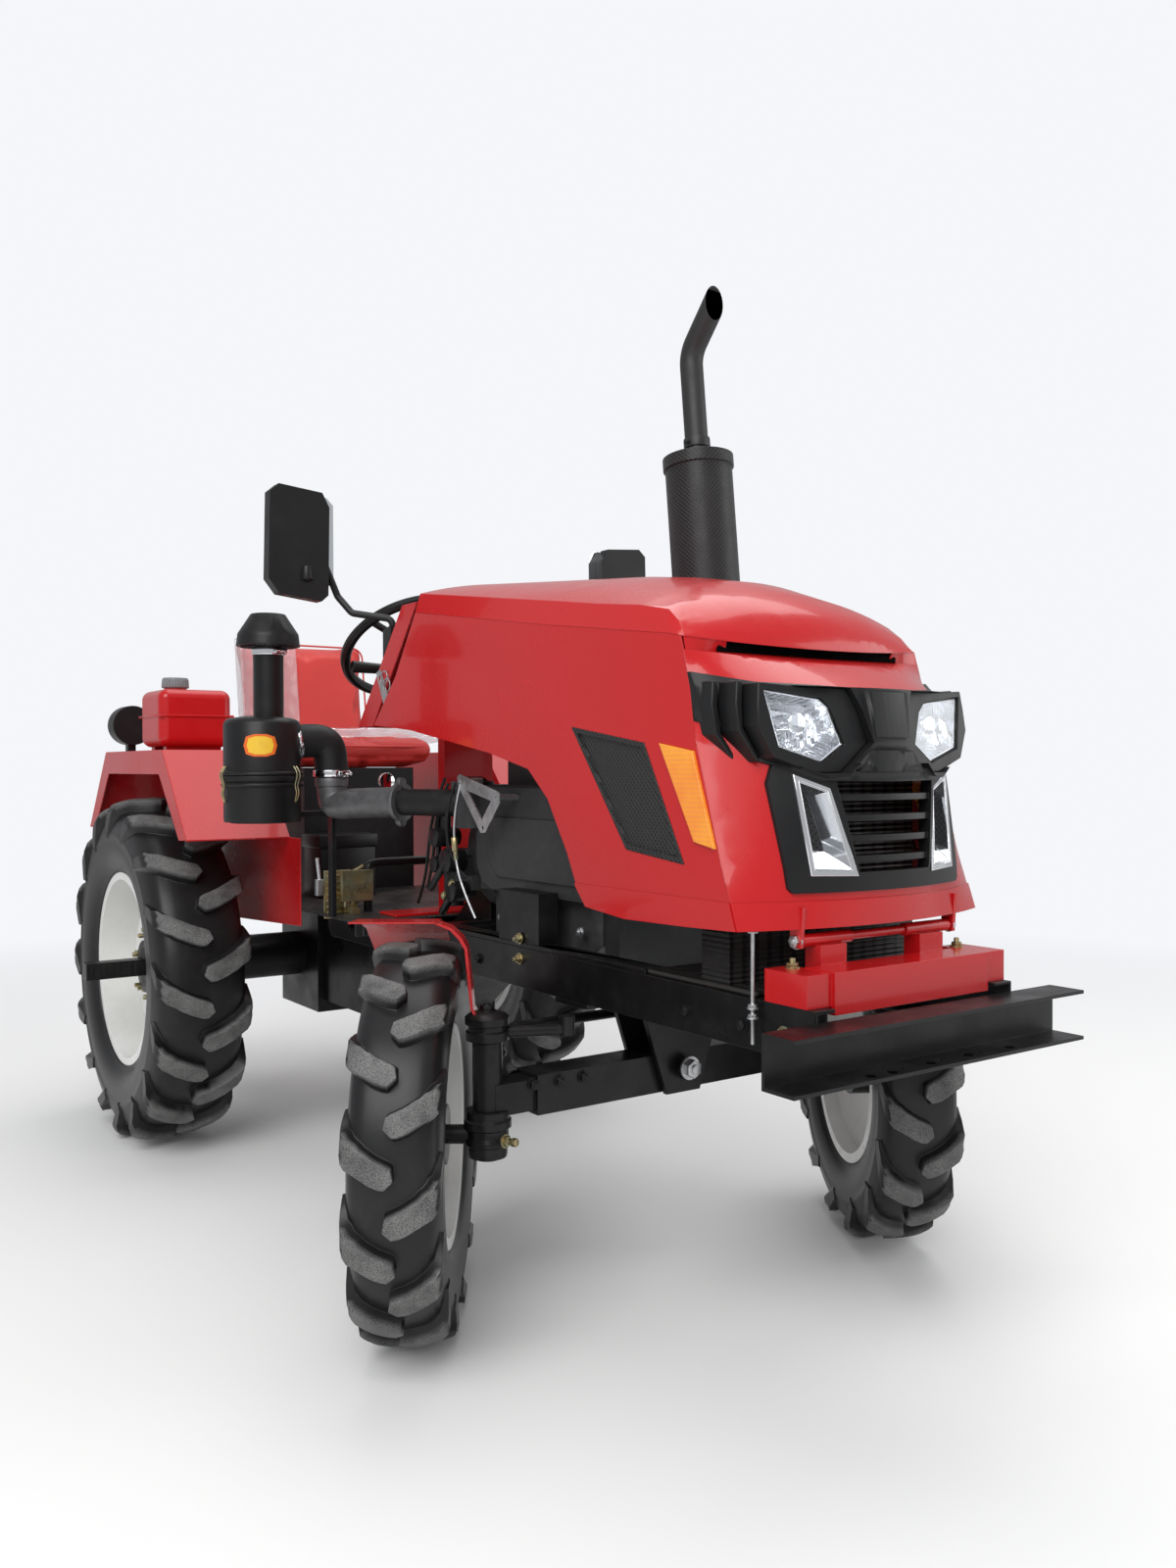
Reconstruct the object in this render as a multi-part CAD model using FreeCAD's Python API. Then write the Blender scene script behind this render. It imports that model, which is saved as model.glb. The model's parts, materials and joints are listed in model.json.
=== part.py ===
"""Small farm tractor, built as an assembly of separate pieces.

Millimetres. Nose toward -Y, left side of the machine toward +X, +Z up, ground at z = 0.
Lengths along Y are given from the front axle and moved to the middle of the
machine when a piece is written. The machine is parked with its front wheels steered
to its right.
"""
import FreeCAD
import Part

import math
import os

V = FreeCAD.Vector
os.makedirs("parts", exist_ok=True)

# Overall layout
WHEELBASE = 1374.0
FRONT_REACH = 612.0          # front axle to the bumper's front edge
DRAWBAR_REACH = 418.0        # rear axle to the end of the drawbar
REAR_REACH = WHEELBASE + DRAWBAR_REACH
MID_Y = (REAR_REACH - FRONT_REACH) / 2
GAP = 0.3                    # clearance between pieces that only pass each other

# Wheels
FRONT_R = 306.0
FRONT_W = 138.0
FRONT_RIM_R = 166.0
REAR_R = 405.5
REAR_W = 210.0
REAR_RIM_R = 222.0
REAR_TRACK = 956.0
KINGPIN_X = 358.0
KINGPIN_TO_WHEEL = 109.0     # kingpin axis to the wheel's middle plane
STEER_RIGHT = -35.0          # parked steering angles, about +Z
STEER_LEFT = -29.0
LUGS = 18                    # lugs on each side of a tyre
LUG_H = 0.065                # height of a lug, share of the tyre's radius
BEAD = 0.70                  # half width between a tyre's beads, share of its half width

# Frame
RAIL_X = 200.0               # outer face of a frame rail
RAIL_Z0 = 498.0
RAIL_Z1 = 568.0
RAIL_FLANGE = 38.0
RAIL_T = 5.0
RAIL_END_Y = WHEELBASE - 394.0
BUMPER_W = 583.0
BUMPER_Z0 = 481.0
BUMPER_Z1 = 553.0
BUMPER_FLANGE = 52.0
BUMPER_HOLES_X = (-105.0, -78.0, 0.0, 55.0, 82.0)
BUMPER_HOLE_R = 5.5
BUMPER_HOLE_Y = -FRONT_REACH + 24.0
PLATE_T = 5.0
WEB_Y = -FRONT_REACH + BUMPER_FLANGE
BEAM = 56.0                  # square tube of the front beam
BEAM_W = 312.0
BEAM_Z0 = 557.0
BEAM_GAP = 7.0               # bumper web to the beam's front face
BEAM_Y = WEB_Y + PLATE_T + BEAM_GAP

# Front axle
AXLE_Z = FRONT_R + 56.0
AXLE_TUBE = 64.0
AXLE_HALF = 285.0
END_TUBE = 50.0
KINGPIN_R = 15.0
BOSS_R = 24.0
BOSS_Z0 = FRONT_R + 24.0
BOSS_Z1 = FRONT_R + 146.0
PIN_FIT = 0.05               # radial clearance of pins in bores
ARM = 120.0                  # steering arm from the kingpin to the rod's eye
ARM_T = 18.0
DRAG_ARM = 124.0
GUARD_R = FRONT_R + 28.0     # inner face of a mudguard
GUARD_T = 2.5

# Engine
ENGINE_FRONT = -60.0
ENGINE_REAR = 400.0
ENGINE_HALF = 138.0
ENGINE_TOP = 848.0
COVER_T = 12.0
BELL = 62.0                  # length of the flywheel housing
STEM_Y = 420.0               # upright stem of the intake manifold
STEM_R = 35.0
MANIFOLD = 26.0              # how far the exhaust manifold stands off the block
INTAKE_X = -130.0            # where the intake hose meets the manifold
INTAKE_Y = STEM_Y + STEM_R + 8
INTAKE_Z = 832.0
INTAKE_R = 33.0
TRAY_T = 8.0

# Rear axle
REAR_SHAFT = 39.0            # square shaft that carries a rear wheel
REAR_SHAFT_END = REAR_TRACK / 2 + 166.0
REAR_TUBE_R = 55.0
HOUSING_TOP = REAR_R + 125.0

# Fenders and floor
FENDER_IN = REAR_TRACK / 2 - REAR_W / 2 - 73.0
FENDER_OUT = REAR_TRACK / 2 + REAR_W / 2 - 53.0
FENDER_TOP = REAR_R + 516.5
FENDER_LOW = REAR_R + 321.5
FENDER_LIP = 55.0
REAR_TUBE_END = FENDER_IN + 52.0
FLOOR_T = 4.0
FLOOR_TOP = RAIL_Z1 + FLOOR_T
FLOOR_Y0 = 620.0

# Hood
HOOD_X = 243.0               # outer face of the side panels
SHEET = 3.0
NOSE_SETBACK = 99.0          # bumper's front edge to the foremost point of the nose
NOSE_Y = -FRONT_REACH + NOSE_SETBACK
HOOD_REAR_Y = 465.0

# nose rows: height, setback of the sides, setback of the middle, both behind NOSE_Y
NOSE_ROWS = (
    (663, 58, 8),
    (745, 88, 0),
    (917, 142, 13),
    (990, 153, 25),
    (1064, 175, 167),
)
# top panel, front rows, lengths behind NOSE_Y:
# seam y, seam z, shoulder x, shoulder y, shoulder z, crown y, crown z, share of the wall taken in y
TOP_FRONT = (
    (175, 1064, 236, 171, 1062.7, 140, 1052.5, 1.0),
    (178, 1065, 233, 181, 1074, 146, 1078, 1.0),
    (184, 1066, 231, 192, 1087, 168, 1109, 0.7),
    (205, 1070, 229, 217, 1106, 215, 1144, 0.5),
    (283, 1080, 229, 283, 1119, 290, 1171, 0.3),
    (403, 1096, 230, 403, 1134, 398, 1191, 0.15),
)
# rear rows of the same columns, lengths behind the front axle
TOP_REAR = (
    (0, 1110, 230, 0, 1150, -20, 1204, 0.0),
    (HOOD_REAR_Y, 1178, 232, HOOD_REAR_Y, 1215, HOOD_REAR_Y, 1249, 0.0),
)
NOSE_TOP_Z = 1046.0          # the nose's top edge at the sides, under the slot
SLOT_FALL = 0.243            # slope of that edge toward the middle
STEP_Z = 700.0               # top of the thicker band along the bottom of the hood
STEP = 2.5

# outlines seen from the front, half of each for x > 0: (x, z)
MASK = ((0, 990), (72, 990), (180, 997), (HOOD_X + 20, 1017), (HOOD_X + 20, 944), (HOOD_X, 944),
        (218, 932), (195, 890), (176, 883), (120, 861), (0, 860))
LENS = ((178, 981), (111, 979), (83, 951), (81, 908), (109, 884), (165, 907))
BEZEL = ((190, 993), (72, 989), (42, 910), (87, 867), (112, 865), (177, 890), (194, 940))
RIDGE = ((213, 991), (203, 996), (198, 995), (201, 950), (183, 898), (188, 894), (208, 945))
GRILLE = ((0, 870), (150, 884), (176, 883), (184, 858), (172, 717), (166, 711), (0, 711))
TRIM = ((156, 871), (103, 852), (74, 732), (144, 734))
WINDOW = ((150, 864), (108, 848), (82, 739), (139, 741))
MESH_PITCH = 17.0            # bars of the mesh inside a bright trim
MESH_BAR = 3.5
MESH_TURN = 20.0             # the mesh lies along the skin, which turns back to the side
MESH_SETBACK = 40.0          # middle of the mesh behind the foremost point of the nose
LOUVRES = (839.0, 811.0, 783.0, 755.0)

# outlines on the side panel: (y, z), the front ones behind NOSE_Y
VENT = ((444, 944), (257, 916), (166, 745), (301, 759))
AMBER = ((218, 915), (144, 903), (98, 770), (141, 778))
ARCH = ((-81, 694), (-54, 746), (2, 830), (61, 878), (189, 906), (488, 953), (651, 967))

# Hood hinge, on the back of the front beam
HINGE_Y = BEAM_Y + BEAM + 15.0
HINGE_Z = BEAM_Z0 + 89.0
HINGE_R = 9.0
HINGE_PIN_R = 6.0

# Exhaust: axis of the muffler leans back as it rises
MUFFLER_X = HOOD_X + 82.0
MUFFLER_Y = 263.0            # at the muffler's foot
MUFFLER_Z0 = 1130.0
MUFFLER_Z1 = 1518.0
MUFFLER_R = 69.0
MUFFLER_LEAN = 0.1016        # back per unit of height
PIPE_R = 24.0

# Air filter: height and radius steps, from the foot of the can to the top of the cap
AIR_FILTER_Y = WHEELBASE - 629.0
AIR_FILTER_X = -FENDER_IN - 144.0
FILTER_STEPS = ((773, 75), (855, 75), (855, 81), (865, 81), (865, 75), (960, 75), (976, 62),
                (976, 30), (1125, 30), (1125, 63), (1150, 60), (1190, 34))
STACK_SHIFT = 14.0           # the stack stands off the can's axis, toward the hood

# Steering wheel and its column
HELM_Y = 930.0
HELM_Z = 1160.0
HELM_R = 170.0
HELM_TUBE = 12.0
HELM_TILT = 35.0
COLUMN_LENGTH = 448.0


def box(x0, x1, y0, y1, z0, z1):
    """Box between two corners."""
    shape = Part.makeBox(abs(x1 - x0), abs(y1 - y0), abs(z1 - z0))
    shape.translate(V(min(x0, x1), min(y0, y1), min(z0, z1)))
    return shape


def rod(a, b, r):
    """Round bar from a to b."""
    a = V(*a)
    d = V(*b) - a
    return Part.makeCylinder(r, d.Length, a, d)


def fuse(shapes):
    """One solid from several touching or overlapping ones."""
    out = shapes[0].multiFuse(shapes[1:]) if len(shapes) > 1 else shapes[0]
    return out.removeSplitter()


def mirror_x(shape):
    """The same piece on the other side of the machine."""
    return shape.mirror(V(0, 0, 0), V(1, 0, 0))


def polygon(points):
    """Closed flat face through the points."""
    pts = [V(*p) for p in points]
    return Part.Face(Part.makePolygon(pts + [pts[0]]))


def side_plate(yz, x0, x1):
    """Plate whose outline is drawn in the Y-Z plane, from x0 to x1."""
    return polygon([(x0, y, z) for y, z in yz]).extrude(V(x1 - x0, 0, 0))


def front_plate(xz, y0, y1):
    """Plate whose outline is drawn in the X-Z plane, from y0 to y1."""
    return polygon([(x, y0, z) for x, z in xz]).extrude(V(0, y1 - y0, 0))


def flat_plate(xy, z0, z1):
    """Plate whose outline is drawn in the X-Y plane, from z0 to z1."""
    return polygon([(x, y, z0) for x, y in xy]).extrude(V(0, 0, z1 - z0))


def bent_pipe(points, r, bend):
    """Round bar of straight runs joined by bends of one radius."""
    pts = [V(*p) for p in points]
    edges = []
    start = pts[0]
    for i in range(1, len(pts) - 1):
        a = (pts[i - 1] - pts[i]).normalize()
        b = (pts[i + 1] - pts[i]).normalize()
        half = math.acos(max(-1.0, min(1.0, a.dot(b)))) / 2
        cut = bend / math.tan(half)
        p = pts[i] + a * cut
        q = pts[i] + b * cut
        mid_dir = (a + b).normalize()
        centre = pts[i] + mid_dir * (bend / math.sin(half))
        edges.append(Part.makeLine(start, p))
        edges.append(Part.Arc(p, centre - mid_dir * bend, q).toShape())
        start = q
    edges.append(Part.makeLine(start, pts[-1]))
    path = Part.Wire(edges)
    ring = Part.Wire(Part.makeCircle(r, pts[0], (pts[1] - pts[0]).normalize()))
    return path.makePipeShell([ring], True, False)


def revolve_x(profile):
    """Solid turned about the X axis from (x, r) points."""
    face = polygon([(x, 0, r) for x, r in profile])
    return face.revolve(V(0, 0, 0), V(1, 0, 0), 360)


def revolve_z(profile):
    """Solid turned about the Z axis from (r, z) points."""
    face = polygon([(r, 0, z) for r, z in profile])
    return face.revolve(V(0, 0, 0), V(0, 0, 1), 360)


def turn(shape, angle, at):
    """Turn about a vertical axis through at."""
    out = shape.copy()
    out.rotate(V(*at), V(0, 0, 1), angle)
    return out


def save(name, shape):
    """Write one piece, moved so that the machine's middle is at y = 0."""
    out = shape.copy()
    out.translate(V(0, -MID_Y, 0))
    if len(out.Solids) == 1:
        out = out.Solids[0]
    if not out.isValid() or out.Volume <= 0:
        print("CHECK", name, out.isValid(), out.Volume)
    out.exportStep("parts/%s.step" % name)


# Wheels
def tyre(radius, width, rim_r):
    """Tyre about the X axis with bar lugs that lead at the middle when it rolls forward."""
    half = width / 2
    carcass = radius * (1 - LUG_H)
    wall = carcass - rim_r
    bead = half * BEAD
    # the casing has two flats to each lug, so that its lugs all meet it alike
    step = math.pi / LUGS
    # its corners stand out far enough for the flats to clear the rim's well
    side = [(bead - GAP, (rim_r - 6 + GAP) / math.cos(step / 2)), (bead - GAP, rim_r + 8),
            (half * 0.97, rim_r + 0.42 * wall), (half * 0.90, carcass - 0.10 * radius),
            (half * 0.52, carcass - 0.012 * radius)]
    profile = side + [(-x, r) for x, r in side[::-1]]
    faces = []
    rings = []
    for k in range(2 * LUGS):
        a = k * step
        rings.append([V(x, r * math.sin(a), r * math.cos(a)) for x, r in profile])
    for k in range(2 * LUGS):
        a = rings[k]
        b = rings[(k + 1) % (2 * LUGS)]
        for i in range(len(profile)):
            j = (i + 1) % len(profile)
            faces.append(Part.Face(Part.makePolygon([a[i], a[j], b[j], b[i], a[i]])))
    body = Part.Solid(Part.Shell(faces))
    if body.Volume < 0:
        body.reverse()
    lug = tyre_lug(radius, half, carcass)
    lugs = []
    for k in range(LUGS):
        for s in (1, -1):
            one = lug.copy() if s > 0 else mirror_x(lug)
            one.rotate(V(0, 0, 0), V(1, 0, 0), math.degrees(2 * step) * (k + (0.5 if s < 0 else 0.0)))
            lugs.append(one)
    return body.multiFuse(lugs).removeSplitter()


def tyre_lug(radius, half, carcass):
    """One bar lug: a bent bar in plan, its end sloped down at the shoulder."""
    pitch = 2 * math.pi * radius / LUGS
    lead = 0.62 * pitch
    thick = 0.26 * pitch
    plan = [
        (-0.08 * half, -lead / 2 - thick * 0.4), (0.42 * half, -thick * 0.55),
        (half, lead * 0.32 - thick * 0.5), (half, lead * 0.32 + thick * 0.6),
        (0.42 * half, thick * 0.55), (-0.08 * half, -lead / 2 + thick * 0.5),
    ]
    reach = lead / 2 + thick * 0.6
    top = math.sqrt(radius ** 2 - reach ** 2)
    foot = carcass - 0.13 * radius
    bar = flat_plate(plan, foot, top)
    section = [(-half, foot - 1), (half * 1.01, foot - 1), (half * 1.01, top - 0.055 * radius),
               (half * 0.62, top), (half * 0.55, top + 9), (-half, top + 9)]
    return bar.common(front_plate(section, -radius, radius))


def rim_barrel(half, r):
    """Rim well with a flange on each side of the tyre's beads."""
    return revolve_x([
        (-half, r - 6), (-half, r + 6), (-half - 6, r + 6), (-half - 6, r - 12),
        (half + 6, r - 12), (half + 6, r + 6), (half, r + 6), (half, r - 6),
    ])


def front_rim():
    """Front rim with its dished disc and hub, outboard side toward +X."""
    t = 4.0
    r = FRONT_RIM_R
    disc = revolve_x([
        (-20, r - 11), (-20 - t, r - 11), (-4 - t, r - 50), (-4 - t, 30), (-4, 30), (-4, r - 50),
    ])
    hub = Part.makeCylinder(46, 76, V(-46, 0, 0), V(1, 0, 0))
    cap = Part.makeCylinder(26, 14, V(30, 0, 0), V(1, 0, 0))
    out = fuse([rim_barrel(FRONT_W * 0.5 * BEAD, r), disc, hub, cap])
    return out.cut(Part.makeCylinder(KINGPIN_R + PIN_FIT, 70, V(-47, 0, 0), V(1, 0, 0)))


def rear_rim():
    """Rear rim with disc and hub, outboard side toward +X."""
    t = 5.0
    r = REAR_RIM_R
    disc = revolve_x([
        (-42, r - 11), (-42 - t, r - 11), (8 - t, r - 70), (8 - t, 30), (8, 30), (8, r - 70),
    ])
    hub = Part.makeCylinder(62, 60, V(-30, 0, 0), V(1, 0, 0))
    # the square shaft turns with the wheel
    inner = REAR_TRACK / 2 - REAR_TUBE_END - GAP
    outer = REAR_SHAFT_END - REAR_TRACK / 2
    shaft = box(-inner, outer, -REAR_SHAFT / 2, REAR_SHAFT / 2, -REAR_SHAFT / 2, REAR_SHAFT / 2)
    flange = Part.makeCylinder(REAR_TUBE_R - 3, 12, V(-inner, 0, 0), V(1, 0, 0))
    return fuse([rim_barrel(REAR_W * 0.5 * BEAD, r), disc, hub, shaft, flange])


def place_wheels():
    """Tyres and rims of the four wheels."""
    front = (("front_tyre", tyre(FRONT_R, FRONT_W, FRONT_RIM_R)), ("front_rim", front_rim()))
    rear = (("rear_tyre", tyre(REAR_R, REAR_W, REAR_RIM_R)), ("rear_rim", rear_rim()))
    for name, s, steer in (("left", 1, STEER_LEFT), ("right", -1, STEER_RIGHT)):
        for part_name, shape in front:
            one = shape.copy() if s > 0 else mirror_x(shape)
            one.translate(V(s * (KINGPIN_X + KINGPIN_TO_WHEEL), 0, FRONT_R))
            save("%s_%s" % (part_name, name), turn(one, steer, (s * KINGPIN_X, 0, 0)))
        for part_name, shape in rear:
            one = shape.copy() if s > 0 else mirror_x(shape)
            one.translate(V(s * REAR_TRACK / 2, WHEELBASE, REAR_R))
            save("%s_%s" % (part_name, name), one)


# Chassis
def frame():
    """Rails, front channel and the front beam with its hinge tubes."""
    web = WEB_Y + PLATE_T
    rail = fuse([
        box(RAIL_X - RAIL_T, RAIL_X, web, RAIL_END_Y, RAIL_Z0, RAIL_Z1),
        box(RAIL_X - RAIL_FLANGE, RAIL_X, web, RAIL_END_Y, RAIL_Z0, RAIL_Z0 + RAIL_T),
        box(RAIL_X - RAIL_FLANGE, RAIL_X, web, RAIL_END_Y, RAIL_Z1 - RAIL_T, RAIL_Z1),
    ])
    save("frame_rail_left", rail)
    save("frame_rail_right", mirror_x(rail))
    half = BUMPER_W / 2
    bumper = fuse([
        box(-half, half, WEB_Y, web, BUMPER_Z0, BUMPER_Z1),
        box(-half, half, -FRONT_REACH, web, BUMPER_Z0, BUMPER_Z0 + PLATE_T),
        box(-half, half, -FRONT_REACH, web, BUMPER_Z1 - PLATE_T, BUMPER_Z1),
    ])
    for x in BUMPER_HOLES_X:
        bumper = bumper.cut(rod((x, BUMPER_HOLE_Y, BUMPER_Z0 - 1),
                                (x, BUMPER_HOLE_Y, BUMPER_Z0 + PLATE_T + 1), BUMPER_HOLE_R))
    save("front_bumper", bumper)
    y1 = BEAM_Y + BEAM
    half = BEAM_W / 2
    beam = [box(-half, half, BEAM_Y, y1, BEAM_Z0, BEAM_Z0 + BEAM)]
    for s in (1, -1):
        beam.append(box(s * (half - 2), s * RAIL_X, BEAM_Y + 6, y1 + 30, RAIL_Z1, RAIL_Z1 + 44))
        beam.append(box(s * 75, s * 125, y1, y1 + 30, BEAM_Z0, HINGE_Z - HINGE_R + 2))
        beam.append(rod((s * 55, HINGE_Y, HINGE_Z), (s * 150, HINGE_Y, HINGE_Z), HINGE_R))
    bore = rod((-400, HINGE_Y, HINGE_Z), (400, HINGE_Y, HINGE_Z), HINGE_PIN_R + PIN_FIT)
    save("front_beam", fuse(beam).cut(bore))


def axles():
    """Front axle beam, its bracket on the frame, the rear axle and the gearbox."""
    h = AXLE_TUBE / 2
    e = END_TUBE / 2
    beam = [box(-AXLE_HALF, AXLE_HALF, -h, h, AXLE_Z - h, AXLE_Z + h)]
    for s in (1, -1):
        beam.append(box(s * (AXLE_HALF - 20), s * KINGPIN_X, -e, e, AXLE_Z - e, AXLE_Z + e))
        beam.append(rod((s * KINGPIN_X, 0, BOSS_Z0), (s * KINGPIN_X, 0, BOSS_Z1), BOSS_R))
    beam = fuse(beam)
    for s in (1, -1):
        beam = beam.cut(rod((s * KINGPIN_X, 0, BOSS_Z0 - 9), (s * KINGPIN_X, 0, BOSS_Z1 + 9),
                            KINGPIN_R + PIN_FIT))
    pivot_r = 12.0
    save("front_axle", beam.cut(rod((0, -h - 9, AXLE_Z), (0, h + 9, AXLE_Z), pivot_r + PIN_FIT)))
    inside = h + 4.0
    plate = 10.0
    bracket = [box(-RAIL_X, RAIL_X, -inside - plate, inside + plate, RAIL_Z0 - 8, RAIL_Z0)]
    for s in (1, -1):
        bracket.append(front_plate([(-90, RAIL_Z0 - 8), (90, RAIL_Z0 - 8), (36, AXLE_Z - 34),
                                    (-36, AXLE_Z - 34)], s * inside, s * (inside + plate)))
    bracket.append(rod((0, -inside - 22, AXLE_Z), (0, inside + 22, AXLE_Z), pivot_r))
    save("axle_bracket", fuse(bracket))

    y = WHEELBASE
    save("rear_axle", fuse([
        rod((-REAR_TUBE_END, y, REAR_R), (REAR_TUBE_END, y, REAR_R), REAR_TUBE_R),
        box(-120, 120, y - 130, y + 110, REAR_R - 135, HOUSING_TOP),
    ]))
    # the clutch housing falls from the flywheel to the gearbox, under the floor
    bell = ENGINE_REAR + BELL
    box_y = y - 614
    clutch = side_plate([(bell, RAIL_Z1 + 130), (bell, RAIL_Z1 - 30), (box_y, REAR_R - 75),
                         (box_y, RAIL_Z0 + 17), (FLOOR_Y0 - 12, RAIL_Z1 - 4)], -80, 80)
    # strips along the rails' tops carry the engine's tray and a closed box beside it
    tray_y = NOSE_Y + 133 + 180
    tray = [box(-RAIL_X, RAIL_X, bell - 10, bell + 20, RAIL_Z1, RAIL_Z1 + TRAY_T)]
    for s in (1, -1):
        tray.append(box(s * (RAIL_X - 42), s * RAIL_X, tray_y, bell + 20, RAIL_Z1, RAIL_Z1 + TRAY_T))
    tray.append(box(-RAIL_X + 2, -ENGINE_HALF - COVER_T - 8, 100, 232, RAIL_Z1 + TRAY_T, RAIL_Z1 + 96))
    save("gearbox", fuse([
        box(-105, 105, box_y, y - 130, REAR_R - 105, RAIL_Z0 + 22),
        box(-RAIL_X + RAIL_FLANGE, RAIL_X - RAIL_FLANGE, y - 574, y - 534, RAIL_Z0, RAIL_Z1 - 5),
        clutch,
    ] + tray))
    bar_z = REAR_R - 75.0
    bar = fuse([box(-35, 35, y + 110, REAR_REACH, bar_z, bar_z + 15),
                box(-60, 60, y + 110, y + 122, bar_z - 40, bar_z + 70)])
    save("drawbar", bar.cut(rod((0, REAR_REACH - 35, bar_z - 9), (0, REAR_REACH - 35, bar_z + 24), 11)))


def engine():
    """Engine with its outside parts, its sump, and the radiator in front of it."""
    half = ENGINE_HALF
    top = ENGINE_TOP
    low = RAIL_Z1 + 80.0
    rear = ENGINE_REAR
    front = ENGINE_FRONT
    # block, head and rocker cover
    block = [
        box(-half, half, front, rear, low, top),
        box(-half + 34, half - 34, front + 40, rear - 46, top, top + 50),
        side_plate([(front + 60, top + 50), (front + 74, top + 92), (rear - 84, top + 92),
                    (rear - 70, top + 50)], -58, 58),
    ]
    # side cover with a rounded rear corner
    cover = [(front + 20, low + 4), (rear - 58, low + 4), (rear - 22, low + 18), (rear - 4, low + 50),
             (rear - 4, top - 4), (front + 20, top - 4)]
    block.append(side_plate(cover, -half - COVER_T, -half))
    raised = [(front + 60, low + 30), (rear - 90, low + 30), (rear - 60, low + 56),
              (rear - 60, top - 60), (front + 60, top - 60)]
    block.append(side_plate(raised, -half - COVER_T - 5, -half - COVER_T))
    # flywheel housing, its lower half between the rails
    block.append(rod((0, rear, low + 70), (0, rear + BELL, low + 70), 132)
                 .common(box(-150, 150, rear, rear + BELL, RAIL_Z1 + 14, 900)))
    # intake manifold and the flange that the hose meets
    stem = rod((-half - 6, STEM_Y, top - 84), (-half - 6, STEM_Y, top + 2), STEM_R)
    block.append(stem)
    block.append(rod((-half - 6, STEM_Y, top - 10), (-half - 6, STEM_Y, top + 6), STEM_R + 7))
    block.append(box(-half - 6, -half + 40, STEM_Y - 60, STEM_Y, top - 70, top - 12))
    block.append(rod((INTAKE_X, STEM_Y, INTAKE_Z), (INTAKE_X, INTAKE_Y, INTAKE_Z), INTAKE_R - 2))
    # injection pump with its governor, and the filter bowls beside it
    pump_x = -half + 6
    for y, z0, z1, r in ((rear + 78, low - 20, low + 72, 26), (rear + 118, low - 44, low + 30, 20)):
        block.append(rod((pump_x, y, z0), (pump_x, y, z1), r))
        block.append(rod((pump_x, y, z1 - 12), (pump_x, y, z1), r + 5))
    block.append(box(pump_x - 14, pump_x + 50, rear + 20, rear + 126, low - 6, low + 22))
    # exhaust manifold on the left
    block.append(box(half, half + MANIFOLD, front + 90, rear - 60, top - 62, top - 6))
    # dynamo and its foot at the left front, and the fan's hub
    block.append(rod((half + 46, front + 30, low + 40), (half + 46, front + 150, low + 40), 44))
    block.append(box(half - 10, half + 30, front + 60, front + 110, low + 16, low + 60))
    block.append(rod((0, front - 46, top - 70), (0, front, top - 70), 30))
    web = RAIL_X - RAIL_FLANGE
    feet_y = (front + 40, rear - 60)
    for y in feet_y:
        block.append(box(-web, web, y, y + 40, RAIL_Z0 + 2, RAIL_Z1 - 5))
        block.append(box(-116, 116, y, y + 40, RAIL_Z0 + 2, low + 4))
    # the sump hangs between the two feet
    y0 = feet_y[0] + 40
    y1 = ENGINE_REAR - 196.0
    sump = side_plate([(y0, low), (y0, RAIL_Z1 + 10), (y0 + 26, RAIL_Z1 - 8), (y1 - 32, RAIL_Z1 - 8),
                       (y1 - 4, RAIL_Z1 + 24), (y1, low - 14), (y1 + 14, low - 14), (y1 + 14, low)],
                      -122, 122)
    save("engine_block", fuse(block))
    save("engine_sump", sump)
    y = NOSE_Y + 133
    save("radiator", fuse([
        box(-190, 190, y, y + 60, RAIL_Z1, 900),
        box(-195, 195, y - 60, y + 180, RAIL_Z1, RAIL_Z1 + TRAY_T),
    ]))


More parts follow.
